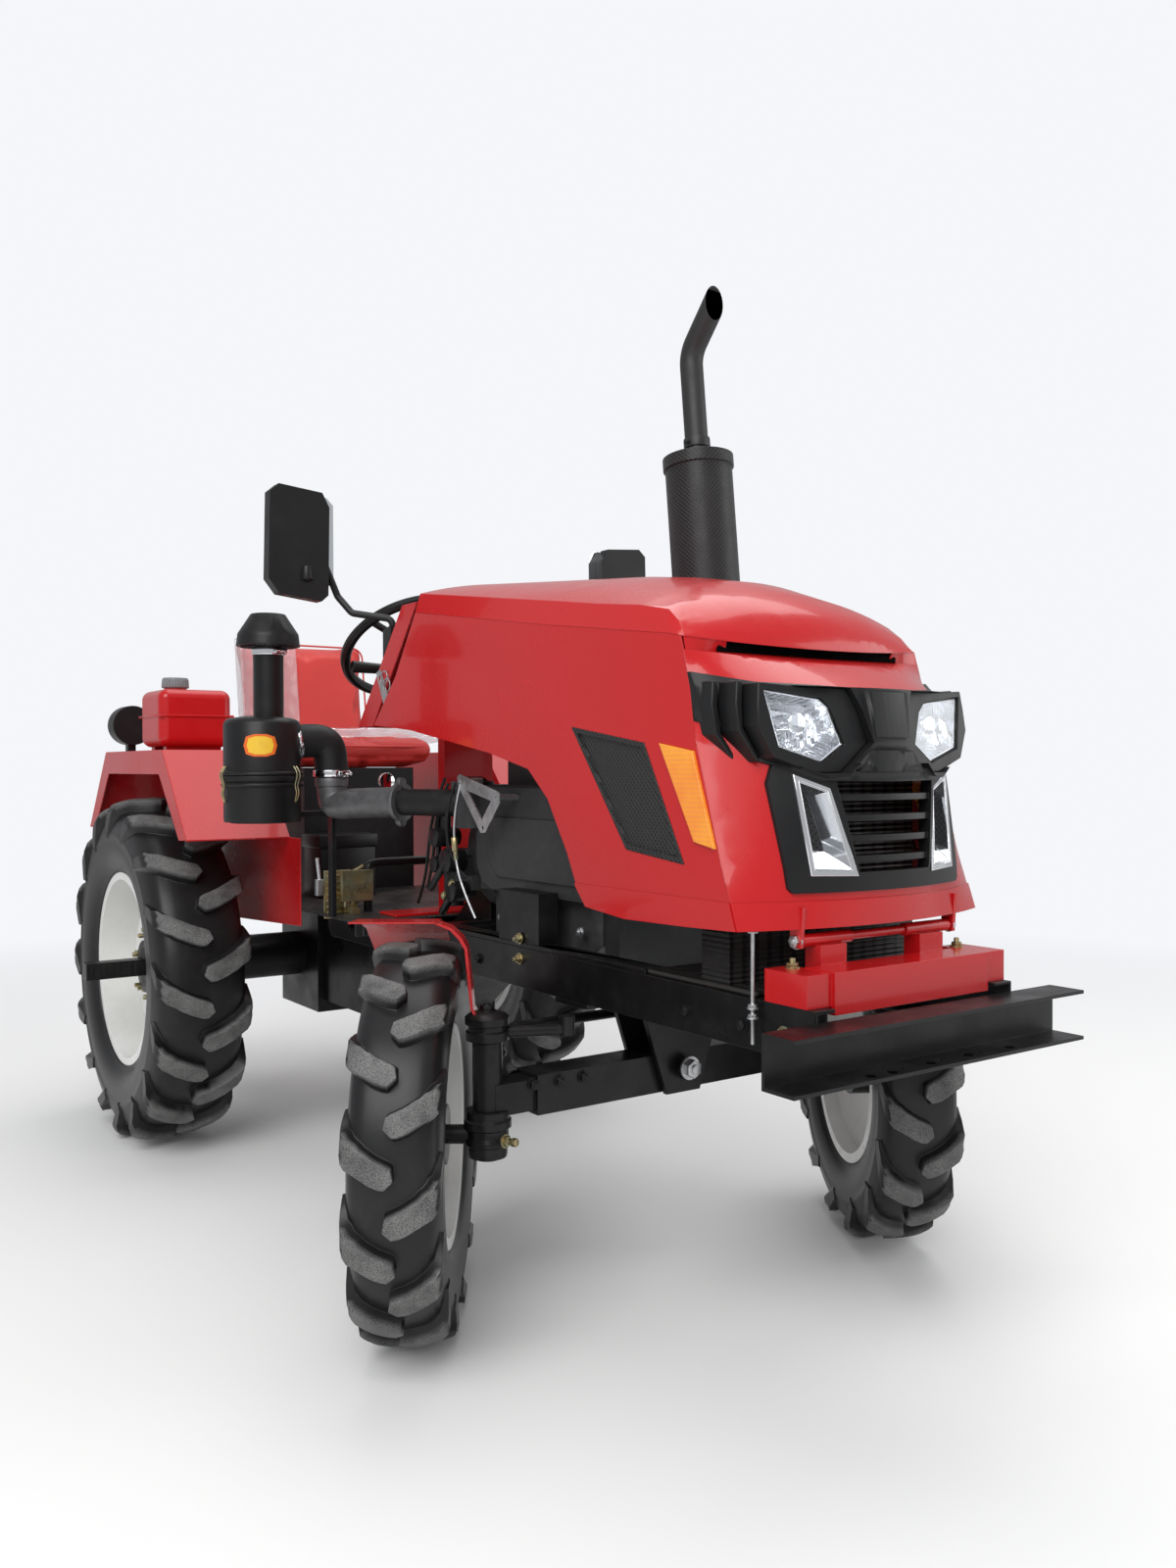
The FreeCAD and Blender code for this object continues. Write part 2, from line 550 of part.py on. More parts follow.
def fenders():
    """Fenders and floor, and what stands on them: tank, lamp and air filter."""
    y = WHEELBASE
    top = FENDER_TOP
    low = FENDER_LOW
    outer = [(y - 409, low), (y - 236, top), (y + 253, top), (y + 423, low)]
    inner = [(y - 406, low - 3), (y - 234, top - SHEET), (y + 252, top - SHEET), (y + 418, low - 3)]
    lip = [(y - 355, low - 3), (y - 210, top - FENDER_LIP), (y + 228, top - FENDER_LIP), (y + 370, low - 3)]
    wall = side_plate([(y - 474, RAIL_Z1 - 33), (y - 474, low)] + outer + [(y + 330, RAIL_Z0 - 3)],
                      FENDER_IN, FENDER_IN + SHEET)
    fender = fuse([
        side_plate(outer + inner[::-1], FENDER_IN, FENDER_OUT),
        side_plate(outer + lip[::-1], FENDER_OUT - SHEET, FENDER_OUT),
        wall.cut(rod((FENDER_IN - 9, y, REAR_R), (FENDER_IN + 9, y, REAR_R), REAR_TUBE_R + 25)),
    ])
    save("fender_left", fender)
    save("fender_right", mirror_x(fender))
    floor = [box(-FENDER_IN, FENDER_IN, FLOOR_Y0, y - 130, RAIL_Z1, FLOOR_TOP)]
    for s in (1, -1):
        floor.append(box(s * FENDER_IN, s * (RAIL_X + 2), FLOOR_Y0, FLOOR_Y0 + 4, RAIL_Z1 - 26, RAIL_Z1))
    save("floor", fuse(floor))

    x0 = -FENDER_IN - 200
    x1 = -FENDER_IN - 30
    tank = box(x0, x1, y - 124, y + 46, top + 9, top + 144)
    tank = tank.makeFillet(22, tank.Edges)
    middle = (x0 + x1) / 2 - 25
    cap = rod((middle, y - 39, top + 138), (middle, y - 39, top + 174), 26)
    feet = [box(x0 + 20, x1 - 20, y + a, y + a + 24, top, top + 18) for a in (-99, -3)]
    save("fuel_tank", fuse([tank, cap] + feet))
    x = -FENDER_IN - 172
    lamp = rod((x, y + 211, top + 68), (x, y + 266, top + 68), 50)
    save("rear_lamp", fuse([lamp, box(x - 10, x + 10, y + 226, y + 251, top, top + 28)]))

    can_steps = [s for s in FILTER_STEPS if s[0] <= 976 and s[1] > 30]
    stack_steps = [s for s in FILTER_STEPS if s[0] >= 976 and s[1] != 62]
    can = revolve_z([(0, can_steps[0][0])] + [(r, z) for z, r in can_steps] + [(0, can_steps[-1][0])])
    stack = revolve_z([(0, stack_steps[0][0])] + [(r, z) for z, r in stack_steps] + [(0, stack_steps[-1][0])])
    stack.translate(V(STACK_SHIFT, 0, 0))
    can = fuse([can, stack])
    can.translate(V(AIR_FILTER_X, AIR_FILTER_Y, 0))
    near = AIR_FILTER_Y - 10
    bracket = box(AIR_FILTER_X + 60, -FENDER_IN, near, near + 20, 780, 792)
    post = box(-FENDER_IN, -FENDER_IN + 10, near, near + 20, FLOOR_TOP, 792)
    save("air_filter", fuse([can, bracket, post]))
    knee = INTAKE_Y + 0.4 * (AIR_FILTER_Y - INTAKE_Y)
    x = AIR_FILTER_X + 70
    hose = bent_pipe([(x, AIR_FILTER_Y + 15, 905), (x + 46, AIR_FILTER_Y + 15, 905),
                      (x + 54, AIR_FILTER_Y - 25, INTAKE_Z), (INTAKE_X, knee, INTAKE_Z),
                      (INTAKE_X, INTAKE_Y, INTAKE_Z)], INTAKE_R, INTAKE_R + 1)
    save("intake_pipe", hose.cut(can))


def exhaust():
    """Pipe out of the engine's left side, muffler and tail pipe."""
    def on_axis(z):
        """Point of the muffler's leaning axis at a height."""
        return (MUFFLER_X, MUFFLER_Y + (z - MUFFLER_Z0) * MUFFLER_LEAN, z)

    ring_z = MUFFLER_Z1 - 25
    save("muffler", fuse([
        rod(on_axis(MUFFLER_Z0), on_axis(MUFFLER_Z1), MUFFLER_R),
        rod(on_axis(ring_z), on_axis(MUFFLER_Z1), MUFFLER_R + 4),
    ]))
    foot = on_axis(MUFFLER_Z0)
    elbow = on_axis(830)
    save("exhaust_pipe", bent_pipe([(ENGINE_HALF + MANIFOLD, elbow[1], 830), elbow, foot], PIPE_R, 50)
         .cut(rod(foot, on_axis(MUFFLER_Z1), MUFFLER_R)))
    knee = on_axis(MUFFLER_Z1 + 219)
    end = (MUFFLER_X, knee[1] - 110, knee[2] + 122)
    tail = bent_pipe([on_axis(MUFFLER_Z1), knee, end], PIPE_R, 60)
    # the open end is cut upright
    mouth = box(MUFFLER_X - 60, MUFFLER_X + 60, end[1] - 60, end[1] + 35, knee[2] - 60, end[2] + 90)
    bore = rod((MUFFLER_X, knee[1] - 45, knee[2] + 50), end, PIPE_R - 2)
    save("exhaust_tail", tail.cut(rod(foot, on_axis(MUFFLER_Z1), MUFFLER_R + 4)).cut(mouth).cut(bore))


def station():
    """Cowl, steering column and wheel, seat, pedals and mirrors."""
    half = HOOD_X - 7
    y = HOOD_REAR_Y
    def cowl_slope(length):
        """Height of the cowl's sloping top."""
        return 1200 - (length - y_cowl - 70) * 235 / 210

    y_cowl = HOOD_REAR_Y
    cowl = side_plate([(y + 7, 1200), (y + 70, 1200), (y + 280, 965), (y + 207, 965)], -half, half)
    inner = side_plate([(y - 5, 1197), (y + 58, 1197), (y + 267, 960), (y + 145, 960)], -half + 3, half - 3)
    post_y = y + 225
    cowl = fuse([cowl.cut(inner), box(-60, 60, post_y, post_y + 30, FLOOR_TOP, 985),
                 box(-200, 200, post_y - 50, post_y + 30, FLOOR_TOP, FLOOR_TOP + 6)])

    c = V(0, HELM_Y, HELM_Z)
    tilt = math.radians(HELM_TILT)
    up = V(0, math.sin(tilt), math.cos(tilt))
    column = Part.makeCylinder(22, COLUMN_LENGTH, c - up * (COLUMN_LENGTH + 20 + GAP), up)
    save("cowl", cowl.cut(column))
    save("steering_column", column)
    # the grip is turned from an eight-sided section
    section = []
    for k in range(8):
        a = math.radians(22.5 + 45 * k)
        section.append((HELM_R + HELM_TUBE * math.cos(a), HELM_TUBE * math.sin(a)))
    ring = revolve_z(section)
    bars = [ring, Part.makeCylinder(34, 24, V(0, 0, -20), V(0, 0, 1))]
    for k in range(3):
        a = math.radians(90 + 120 * k)
        bars.append(Part.makeCylinder(8, HELM_R - 3, V(0, 0, -8), V(math.cos(a), math.sin(a), 0)))
    wheel = fuse(bars)
    wheel.rotate(V(0, 0, 0), V(1, 0, 0), -HELM_TILT)
    wheel.translate(c)
    save("steering_wheel", wheel)

    y = WHEELBASE
    seat_z = HOUSING_TOP + 350
    save("seat_base", fuse([box(-150, 150, y - 124, y + 186, HOUSING_TOP, seat_z),
                            box(-120, 120, y + 186, y + 266, seat_z - 20, seat_z - 10)]))
    save("seat_cushion", box(-190, 190, y - 164, y + 186, seat_z + GAP, seat_z + 90))
    save("seat_back", side_plate([(y + 186 + GAP, seat_z - 10 + GAP), (y + 266, seat_z - 10 + GAP),
                                  (y + 316, seat_z + 345), (y + 266, seat_z + 345)], -180, 180))
    pedal = fuse([box(-275, -205, 740, 750, 600, 665), rod((-240, 745, 610), (-240, 765, 582), 7),
                  box(-250, -230, 750, 790, FLOOR_TOP, 584)])
    save("pedal_right", pedal)
    save("pedal_left", mirror_x(pedal))
    for name, s, drop in (("left", 1, 45), ("right", -1, 0)):
        shell = front_plate([(s * 352, 1212 - drop), (s * 440, 1222 - drop), (s * 462, 1250 - drop),
                             (s * 458, 1420 - drop), (s * 440, 1436 - drop), (s * 350, 1428 - drop),
                             (s * 335, 1400 - drop), (s * 338, 1225 - drop)], 655, 683)
        # the clamp sits on the cowl's sloping top, clear of the hood's side as it tilts
        foot = [(yy, cowl_slope(yy) + GAP) for yy in (HOOD_REAR_Y + 120, HOOD_REAR_Y + 157)]
        clamp = side_plate(foot + [(foot[1][0], 1158), (foot[0][0], 1166)], s * (half - 26), s * half)
        arm = bent_pipe([(s * (half - 13), 603, 1150), (s * (half - 13), 603, 1180 - drop / 4),
                         (s * 288, 655, 1193 - drop), (s * 308, 680, 1228 - drop),
                         (s * 355, 686, 1341 - drop)], 7, 16)
        save("mirror_%s" % name, fuse([shell, arm, clamp]))


# Steering
def steering():
    """Knuckles, mudguards and the rod that joins the two knuckles."""
    top = BOSS_Z1 + 26
    ends = {}
    for name, s, angle in (("left", 1, STEER_LEFT), ("right", -1, STEER_RIGHT)):
        x = s * KINGPIN_X
        arm_z = BOSS_Z1 + 4
        knuckle = fuse([
            rod((x, 0, FRONT_R - 36), (x, 0, BOSS_Z1 + 40), KINGPIN_R),
            rod((x, 0, FRONT_R - 34), (x, 0, BOSS_Z0 - 2), 30),
            rod((x, 0, BOSS_Z1 + 2), (x, 0, top), 30),
            rod((x, 0, FRONT_R), (x + s * (KINGPIN_TO_WHEEL + 20), 0, FRONT_R), KINGPIN_R),
            box(x - 12, x + 12, 0, ARM, arm_z, arm_z + ARM_T),
            rod((x, ARM, arm_z), (x, ARM, arm_z + ARM_T), 16),
        ])
        knuckle = knuckle.cut(rod((x, ARM, arm_z - 4), (x, ARM, arm_z + ARM_T + 4), 7))
        if s < 0:
            # the arm that the steering pushes, turned inboard, with its ball
            drag = [rod((x, 0, arm_z + ARM_T / 2), (x + DRAG_ARM, DRAG_ARM * 0.23, arm_z + ARM_T / 2), 9),
                    rod((x + DRAG_ARM, DRAG_ARM * 0.23, arm_z), (x + DRAG_ARM, DRAG_ARM * 0.23, top + 8), 13)]
            knuckle = fuse([knuckle] + drag)
        save("knuckle_%s" % name, turn(knuckle, angle, (x, 0, 0)))
        a = math.radians(angle)
        ends[name] = (x - ARM * math.sin(a), ARM * math.cos(a))
        # mudguard: bent sheet above the tyre and behind it, on a strap from the kingpin
        arcs = []
        for r in (GUARD_R, GUARD_R + GUARD_T):
            arcs.append([(-r * math.sin(math.radians(deg)), FRONT_R + r * math.cos(math.radians(deg)))
                         for deg in (4, -10, -24, -38, -52, -66)])
        guard = side_plate(arcs[0] + arcs[1][::-1], s * (KINGPIN_X + 78), s * (KINGPIN_X + 213))
        g = FRONT_R + GUARD_R
        line = [(-20, top + 6), (8, top + 6), (20, top + 28), (29, g - 40), (38, g - 23), (54, g - 8),
                (83, g + GUARD_T)]
        under = [(80, g - 2), (56, g - 12), (43, g - 26), (33.5, g - 42), (25, top + 28), (12, top),
                 (-20, top)]
        strap = front_plate([(s * (KINGPIN_X + a), z) for a, z in line + under], -18, 18)
        guard = fuse([guard, strap])
        guard = guard.cut(rod((x, 0, BOSS_Z1), (x, 0, BOSS_Z1 + 60), KINGPIN_R + GAP))
        save("mudguard_%s" % name, turn(guard, angle, (x, 0, 0)))
    z = BOSS_Z1 - 8
    tie = [rod(ends["right"] + (z,), ends["left"] + (z,), 9)]
    for x, y in ends.values():
        tie.append(rod((x, y, z - 14), (x, y, z + 12 - GAP), 14))
    save("tie_rod", fuse(tie))


# Hood
def nose_block(out, z_low=0.0):
    """Solid behind the nose's skin, the skin moved forward by out."""
    wires = []
    for z, side, middle in NOSE_ROWS:
        sag = side - middle
        radius = (HOOD_X ** 2 + sag ** 2) / (2 * sag)
        centre = NOSE_Y + middle + radius
        r = radius + out
        end = centre - math.sqrt(r * r - HOOD_X ** 2)
        back = NOSE_Y + 250
        z = z - (z_low if z == NOSE_ROWS[0][0] else 0.0)
        a = V(-HOOD_X, end, z)
        b = V(HOOD_X, end, z)
        wires.append(Part.Wire([
            Part.Arc(a, V(0, centre - r, z), b).toShape(),
            Part.makeLine(b, V(HOOD_X, back, z)),
            Part.makeLine(V(HOOD_X, back, z), V(-HOOD_X, back, z)),
            Part.makeLine(V(-HOOD_X, back, z), a),
        ]))
    return Part.makeLoft(wires, True, True)


def front_prism(half, mirrored=False):
    """Prism through the nose with an outline drawn from the front."""
    pts = [(-x, z) for x, z in half] if mirrored else list(half)
    return front_plate(pts, NOSE_Y - 60, NOSE_Y + 190)


def both_sides(half):
    """The prism whose outline is the half outline and its mirror image."""
    return front_plate(list(half) + [(-x, z) for x, z in half[::-1] if x], NOSE_Y - 60, NOSE_Y + 190)


def top_panel():
    """Top panel lofted through thin sections, from the lip's edge to the rear."""
    rows = [(NOSE_Y + a, b, c, NOSE_Y + d, e, NOSE_Y + f, g, h) for a, b, c, d, e, f, g, h in TOP_FRONT]
    rows += TOP_REAR
    wires = []
    for i, (seam_y, seam_z, sx, sy, sz, cy, cz, share) in enumerate(rows):
        slope = (seam_z - cz) / (seam_y - cy) if i == 0 else 0.0
        layers = []
        for inset in (0.0, SHEET):
            back = inset * share
            down = inset * (1 - share)
            if i == 0:
                # the lip's edge is flat, so its points keep to one plane
                down = -back * slope
                sz = seam_z - slope * (seam_y - sy)
            x = HOOD_X - inset
            layers.append((V(x, seam_y, seam_z), V(sx - inset, sy + back, sz - down),
                           V(0, cy + back, cz - down)))
        edges = []
        ends = []
        for seam, shoulder, crown in layers:
            far = V(-shoulder.x, shoulder.y, shoulder.z)
            end = V(-seam.x, seam.y, seam.z)
            edges.append([Part.makeLine(seam, shoulder), Part.Arc(shoulder, crown, far).toShape(),
                          Part.makeLine(far, end)])
            ends.append((seam, end))
        outside, inside = edges
        wires.append(Part.Wire(outside + [Part.makeLine(ends[0][1], ends[1][1])] + inside[::-1]
                               + [Part.makeLine(ends[1][0], ends[0][0])]))
    return Part.makeLoft(wires, True, True)


def side_points():
    """Outline of a side panel: top seam, rear edge, arch, lower edge and front seam."""
    seam = [(y, z - GAP) for y, z, *_ in TOP_REAR[::-1]]
    seam += [(NOSE_Y + y, z - GAP) for y, z, *_ in TOP_FRONT[:0:-1]]
    front = [(NOSE_Y + side + GAP, z) for z, side, _ in NOSE_ROWS[::-1]]
    low = [(NOSE_Y + 167, 659), (NOSE_Y + 304, 656), (-108, 665)]
    return seam + front + low + list(ARCH) + [(HOOD_REAR_Y + 86, 1061)]


def mesh_plate(window):
    """Flat plate of crossed bars across a window, turned to lie along the nose."""
    xs = [x for x, _ in window]
    zs = [z for _, z in window]
    reach = max(zs) - min(zs)
    count = int(reach / MESH_PITCH / 2) + 1
    mid = V((max(xs) + min(xs)) / 2, 0, (max(zs) + min(zs)) / 2)
    bars = []
    for lean in (32, -32):
        for i in range(-count, count + 1):
            one = box(-MESH_BAR / 2, MESH_BAR / 2, 0, 4, -reach, reach)
            one.translate(V(i * MESH_PITCH, 0, 0))
            one.rotate(V(0, 0, 0), V(0, 1, 0), lean)
            bars.append(one)
    plate = bars[0].multiFuse(bars[1:])
    plate.rotate(V(0, 0, 0), V(0, 0, 1), MESH_TURN)
    plate.translate(mid + V(0, NOSE_Y + MESH_SETBACK, 0))
    return plate.common(front_prism(window))


def hood():
    """Tilting hood: top, sides, nose, mask, lamps, grille and vents."""
    save("hood_top", top_panel())

    # side panels with a thicker band at the bottom and a turned-in edge round the arch
    outline = side_points()
    panel = side_plate(outline, HOOD_X - SHEET, HOOD_X)
    band = side_plate(outline, HOOD_X, HOOD_X + STEP)
    band = band.common(box(HOOD_X - 1, HOOD_X + 9, NOSE_Y, 0, 600, STEP_Z))
    edge = [(y - 6, z + 12) for y, z in ARCH[:3]] + [(y, z + 14) for y, z in ARCH[3:]]
    turned = side_plate(list(ARCH) + edge[::-1], HOOD_X - 16, HOOD_X - SHEET)
    # it ends before the cowl, which the panel's rear corner passes as the hood tilts
    turned = turned.common(box(0, HOOD_X, NOSE_Y, HOOD_REAR_Y + 75, 600, 1200))
    panel = fuse([panel, band, turned.common(side_plate(outline, 0, HOOD_X))])
    vent = [(NOSE_Y + y, z) for y, z in VENT]
    amber = [(NOSE_Y + y, z) for y, z in AMBER]
    hole = fuse([side_plate(vent, HOOD_X - 30, HOOD_X + 9), side_plate(amber, HOOD_X - 30, HOOD_X + 9)])
    panel = panel.cut(hole)
    cy = sum(y for y, _ in vent) / 4
    cz = sum(z for _, z in vent) / 4
    inner = [(cy + (y - cy) * 0.90, cz + (z - cz) * 0.90) for y, z in vent]
    grid = fuse([
        side_plate(vent, HOOD_X - 5, HOOD_X + 1.5).cut(side_plate(inner, HOOD_X - 9, HOOD_X + 9)),
        side_plate(inner, HOOD_X - 5, HOOD_X - 3),
    ])
    lamp = side_plate(amber, HOOD_X - 8, HOOD_X + 5)
    for name, s in (("left", 1), ("right", -1)):
        for part_name, shape in (("hood_side", panel), ("side_vent", grid), ("indicator", lamp)):
            save("%s_%s" % (part_name, name), shape if s > 0 else mirror_x(shape))

    # everything at the front is a layer of the nose's skin
    seam = [(NOSE_Y + side, z) for z, side, _ in NOSE_ROWS]
    behind = side_plate([(seam[0][0], 600)] + seam + [(seam[-1][0], 1100), (NOSE_Y + 260, 1100),
                                                      (NOSE_Y + 260, 600)], -HOOD_X - 9, HOOD_X + 9)
    beside = behind.cut(box(-HOOD_X + SHEET + GAP, HOOD_X - SHEET - GAP, NOSE_Y - 99, NOSE_Y + 300, 0, 2000))
    skins = {out: nose_block(out) for out in (18.0, 11.0, 8.0, 5.0, STEP, 0.0, -12.0, -14.0, -16.0, -20.0)}
    seam_y = NOSE_Y + TOP_FRONT[0][0]
    seam_z = NOSE_TOP_Z
    low_z = NOSE_ROWS[0][0]

    def layer(prism, out, inn):
        """What a prism takes from between two copies of the nose's skin."""
        return prism.common(skins[out]).cut(skins[inn])

    def top_wedge(drop):
        """What lies above the nose's sloping top edge."""
        return side_plate([(seam_y + 60, seam_z - drop), (seam_y, seam_z - drop),
                           (NOSE_Y - 60, seam_z - drop - SLOT_FALL * (seam_y - NOSE_Y + 60)),
                           (NOSE_Y - 60, 1200), (seam_y + 60, 1200)], -HOOD_X - 20, HOOD_X + 20)

    mask_body = layer(both_sides(MASK), 5.0, -12.0).cut(beside)
    grille_prism = both_sides(GRILLE).cut(both_sides(MASK))
    shell = skins[0.0].cut(nose_block(-SHEET, 20.0).cut(top_wedge(SHEET)))
    low_slab = box(-300, 300, NOSE_Y - 60, 0, low_z, low_z + SHEET)
    nose = [shell, layer(low_slab, 0.0, -20.0)]
    nose.append(layer(box(-300, 300, NOSE_Y - 60, 0, low_z, STEP_Z), STEP, 0.0))
    for s in (1, -1):
        nose.append(layer(box(s * 205, s * 238, NOSE_Y - 60, 0, 925, 1030), 0.0, -16.0))
    nose = fuse([piece.cut(behind) for piece in nose])
    nose = nose.cut(top_wedge(0.0)).cut(mask_body).cut(grille_prism)
    lugs = [nose]
    for s in (1, -1):
        lugs.append(side_plate([(HINGE_Y - 10, HINGE_Z - 9), (HINGE_Y + 10, HINGE_Z - 9),
                                (HINGE_Y + 10, low_z + 30), (HINGE_Y - 14, low_z + 30)],
                               s * 152, s * 158))
    pin = rod((-158, HINGE_Y, HINGE_Z), (158, HINGE_Y, HINGE_Z), HINGE_PIN_R)
    save("hood_front", fuse(lugs + [pin]))

    right_lens = front_prism(LENS, True)
    mask = [mask_body.cut(front_prism(LENS)).cut(right_lens)]
    for mirrored in (False, True):
        lens = front_prism(LENS, mirrored)
        mask.append(layer(front_prism(BEZEL, mirrored).cut(lens), 18.0, 5.0))
        mask.append(layer(front_prism(RIDGE, mirrored), 11.0, 5.0))
    mask.append(layer(both_sides(((0, 985), (42, 985), (34, 921), (0, 921))), 11.0, 5.0))
    mask.append(layer(both_sides(((0, 903), (40, 903), (66, 874), (0, 874))), 11.0, 5.0))
    save("lamp_mask", fuse(mask))
    lamp = layer(front_prism(LENS), 8.0, -20.0)
    save("headlamp_left", lamp)
    save("headlamp_right", mirror_x(lamp))

    opening = front_plate([(-98, 862), (98, 862), (70, 737), (-70, 737)], NOSE_Y - 60, NOSE_Y + 190)
    trims = front_prism(TRIM).fuse(front_prism(TRIM, True))
    grille = [layer(grille_prism.cut(opening).cut(trims), 5.0, -14.0)]
    for z in LOUVRES:
        bar = front_plate([(-99, z + 14), (-88, z + 4), (99, z + 4), (99, z - 5), (-86, z - 5), (-99, z + 5)],
                          NOSE_Y - 60, NOSE_Y + 190)
        grille.append(layer(bar.common(opening), 0.0, -14.0))
    save("grille", fuse(grille))
    trim = layer(front_prism(TRIM).cut(front_prism(WINDOW)), 8.0, -20.0)
    trim = fuse([trim, mesh_plate(WINDOW)])
    save("grille_trim_left", trim)
    save("grille_trim_right", mirror_x(trim))

    # dark plate that closes the slot under the lip
    liner = box(-185, 185, seam_y - 12, seam_y - 12 + SHEET, 990, TOP_FRONT[0][1] - 6)
    save("slot_liner", liner.common(top_wedge(0.0)))


place_wheels()
frame()
axles()
engine()
fenders()
exhaust()
station()
steering()
hood()
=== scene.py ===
# %% [markdown]
# # A small farm tractor, dressed for its picture
# The shapes that were engineered in CAD come in as a fixed frame: rails, axles, rims, sheet metal,
# lamps and pipes, each in its real place and in metres. Blender adds what CAD is slow at: paint,
# rubber, vinyl and glass, the tyres' worn bars, the padded seat, hoses, bolts and wiring.
# Every new piece rides on one of the frame's bodies, so it turns, steers or tilts with it.

import json
import math

import bmesh
import bpy
from mathutils import Matrix, Vector, noise
from mathutils.bvhtree import BVHTree


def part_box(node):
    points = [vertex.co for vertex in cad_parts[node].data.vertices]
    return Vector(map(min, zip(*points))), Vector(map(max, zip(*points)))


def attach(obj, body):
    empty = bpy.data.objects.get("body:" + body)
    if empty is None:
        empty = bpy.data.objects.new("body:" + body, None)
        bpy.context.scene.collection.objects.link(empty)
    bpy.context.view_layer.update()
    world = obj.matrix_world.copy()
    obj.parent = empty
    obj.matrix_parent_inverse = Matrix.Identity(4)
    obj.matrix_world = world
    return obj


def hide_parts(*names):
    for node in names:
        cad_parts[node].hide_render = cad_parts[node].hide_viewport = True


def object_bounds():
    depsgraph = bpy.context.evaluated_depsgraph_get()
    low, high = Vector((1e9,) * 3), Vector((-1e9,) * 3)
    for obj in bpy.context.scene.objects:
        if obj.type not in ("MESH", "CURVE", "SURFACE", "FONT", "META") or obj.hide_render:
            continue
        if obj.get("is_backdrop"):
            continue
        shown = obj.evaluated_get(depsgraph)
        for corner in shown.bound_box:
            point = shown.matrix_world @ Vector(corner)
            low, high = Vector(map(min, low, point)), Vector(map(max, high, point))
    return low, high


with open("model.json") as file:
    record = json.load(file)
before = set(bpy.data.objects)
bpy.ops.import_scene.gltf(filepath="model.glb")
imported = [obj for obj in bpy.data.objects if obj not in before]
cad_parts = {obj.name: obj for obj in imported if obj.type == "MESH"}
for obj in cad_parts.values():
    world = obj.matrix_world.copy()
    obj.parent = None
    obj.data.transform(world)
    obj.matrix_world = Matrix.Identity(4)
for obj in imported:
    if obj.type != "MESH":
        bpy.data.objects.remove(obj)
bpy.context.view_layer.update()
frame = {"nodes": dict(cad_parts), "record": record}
nodes = frame["nodes"]

# %% [markdown]
# ## Camera first
# The photograph was taken from 0.88 m above the floor, off the machine's right front corner, with a
# wide lens. The camera is set before any piece is modelled, because every detail is judged from
# here. Its turn is built from three directions: ahead, to the right and up.

# %% Camera
FOCAL_MM, SENSOR_MM = 28.71, 36.0
EYE = (-1.3439, -2.2844, 0.8823)
YAW, DOWN, ROLL = 0.6082, 0.0142, -0.003        # radians


def camera_turn(yaw, down, roll):
    """Rotation of a camera that looks yaw from +Y toward +X, then down, then rolled."""
    ahead = Vector((math.sin(yaw) * math.cos(down), math.cos(yaw) * math.cos(down), -math.sin(down)))
    right = Vector((math.cos(yaw), -math.sin(yaw), 0))
    up = right.cross(ahead)
    right_rolled = right * math.cos(roll) + up * math.sin(roll)
    up_rolled = up * math.cos(roll) - right * math.sin(roll)
    return Matrix((right_rolled, up_rolled, -ahead)).transposed()


camera_data = bpy.data.cameras.new("camera")
camera_data.lens = FOCAL_MM
camera_data.sensor_width = SENSOR_MM
camera_data.clip_start = 0.05
camera = bpy.data.objects.new("camera", camera_data)
camera.matrix_world = Matrix.Translation(EYE) @ camera_turn(YAW, DOWN, ROLL).to_4x4()
bpy.context.scene.collection.objects.link(camera)
bpy.context.scene.camera = camera
bpy.context.scene.view_settings.view_transform = "Standard"
print("camera at", [round(v, 3) for v in camera.location])

# %% [markdown]
# ## Studio
# One large soft lamp stands in for an overcast sky, a second one lights the top and a third fills the
# shaded side. Camera rays, and rays that have passed through glass, see the world brighter than the
# lighting does, so the background is near white without flattening the shading.

# %% Lamps and world
SKY_COLOUR = (0.96, 0.97, 1.0, 1)
SKY_LIGHT, SKY_SEEN = 0.5, 0.95         # strength for the lighting, and for camera and glass rays


def soft_lamp(name, at, target, size, power):
    """Square area lamp that looks at a point."""
    data = bpy.data.lights.new(name, "AREA")
    data.shape = "SQUARE"
    data.size = size
    data.energy = power
    lamp = bpy.data.objects.new(name, data)
    lamp.location = at
    lamp.rotation_euler = (Vector(target) - Vector(at)).to_track_quat("-Z", "Y").to_euler()
    bpy.context.scene.collection.objects.link(lamp)
    return lamp


soft_lamp("key_lamp", (-3.6, -3.4, 4.4), (0, 0, 0.6), 4.0, 255)
soft_lamp("top_lamp", (1.2, 0.6, 5.2), (0, 0, 0.6), 4.0, 110)
soft_lamp("fill_lamp", (4.2, -3.0, 2.2), (0, 0, 0.7), 3.0, 55)

world = bpy.data.worlds.new("pale_studio")
bpy.context.scene.world = world
world.use_nodes = True
sky = world.node_tree.nodes
sky_links = world.node_tree.links
background = sky["Background"]
background.inputs["Color"].default_value = SKY_COLOUR
seen = sky.new("ShaderNodeLightPath")
widest = sky.new("ShaderNodeMath")
widest.operation = "MAXIMUM"
level = sky.new("ShaderNodeMapRange")
level.inputs["To Min"].default_value = SKY_LIGHT
level.inputs["To Max"].default_value = SKY_SEEN
sky_links.new(seen.outputs["Is Camera Ray"], widest.inputs[0])
sky_links.new(seen.outputs["Is Transmission Ray"], widest.inputs[1])
sky_links.new(widest.outputs[0], level.inputs["Value"])
sky_links.new(level.outputs["Result"], background.inputs["Strength"])
print("world ready")

# %% [markdown]
# ## A small kit for materials
# Each finish is a Principled shader whose colour, roughness and surface relief come from noise
# patterns in Object coordinates. The Bevel node rounds the shading of sharp edges a little, which
# is what a coat of paint does on real sheet metal.

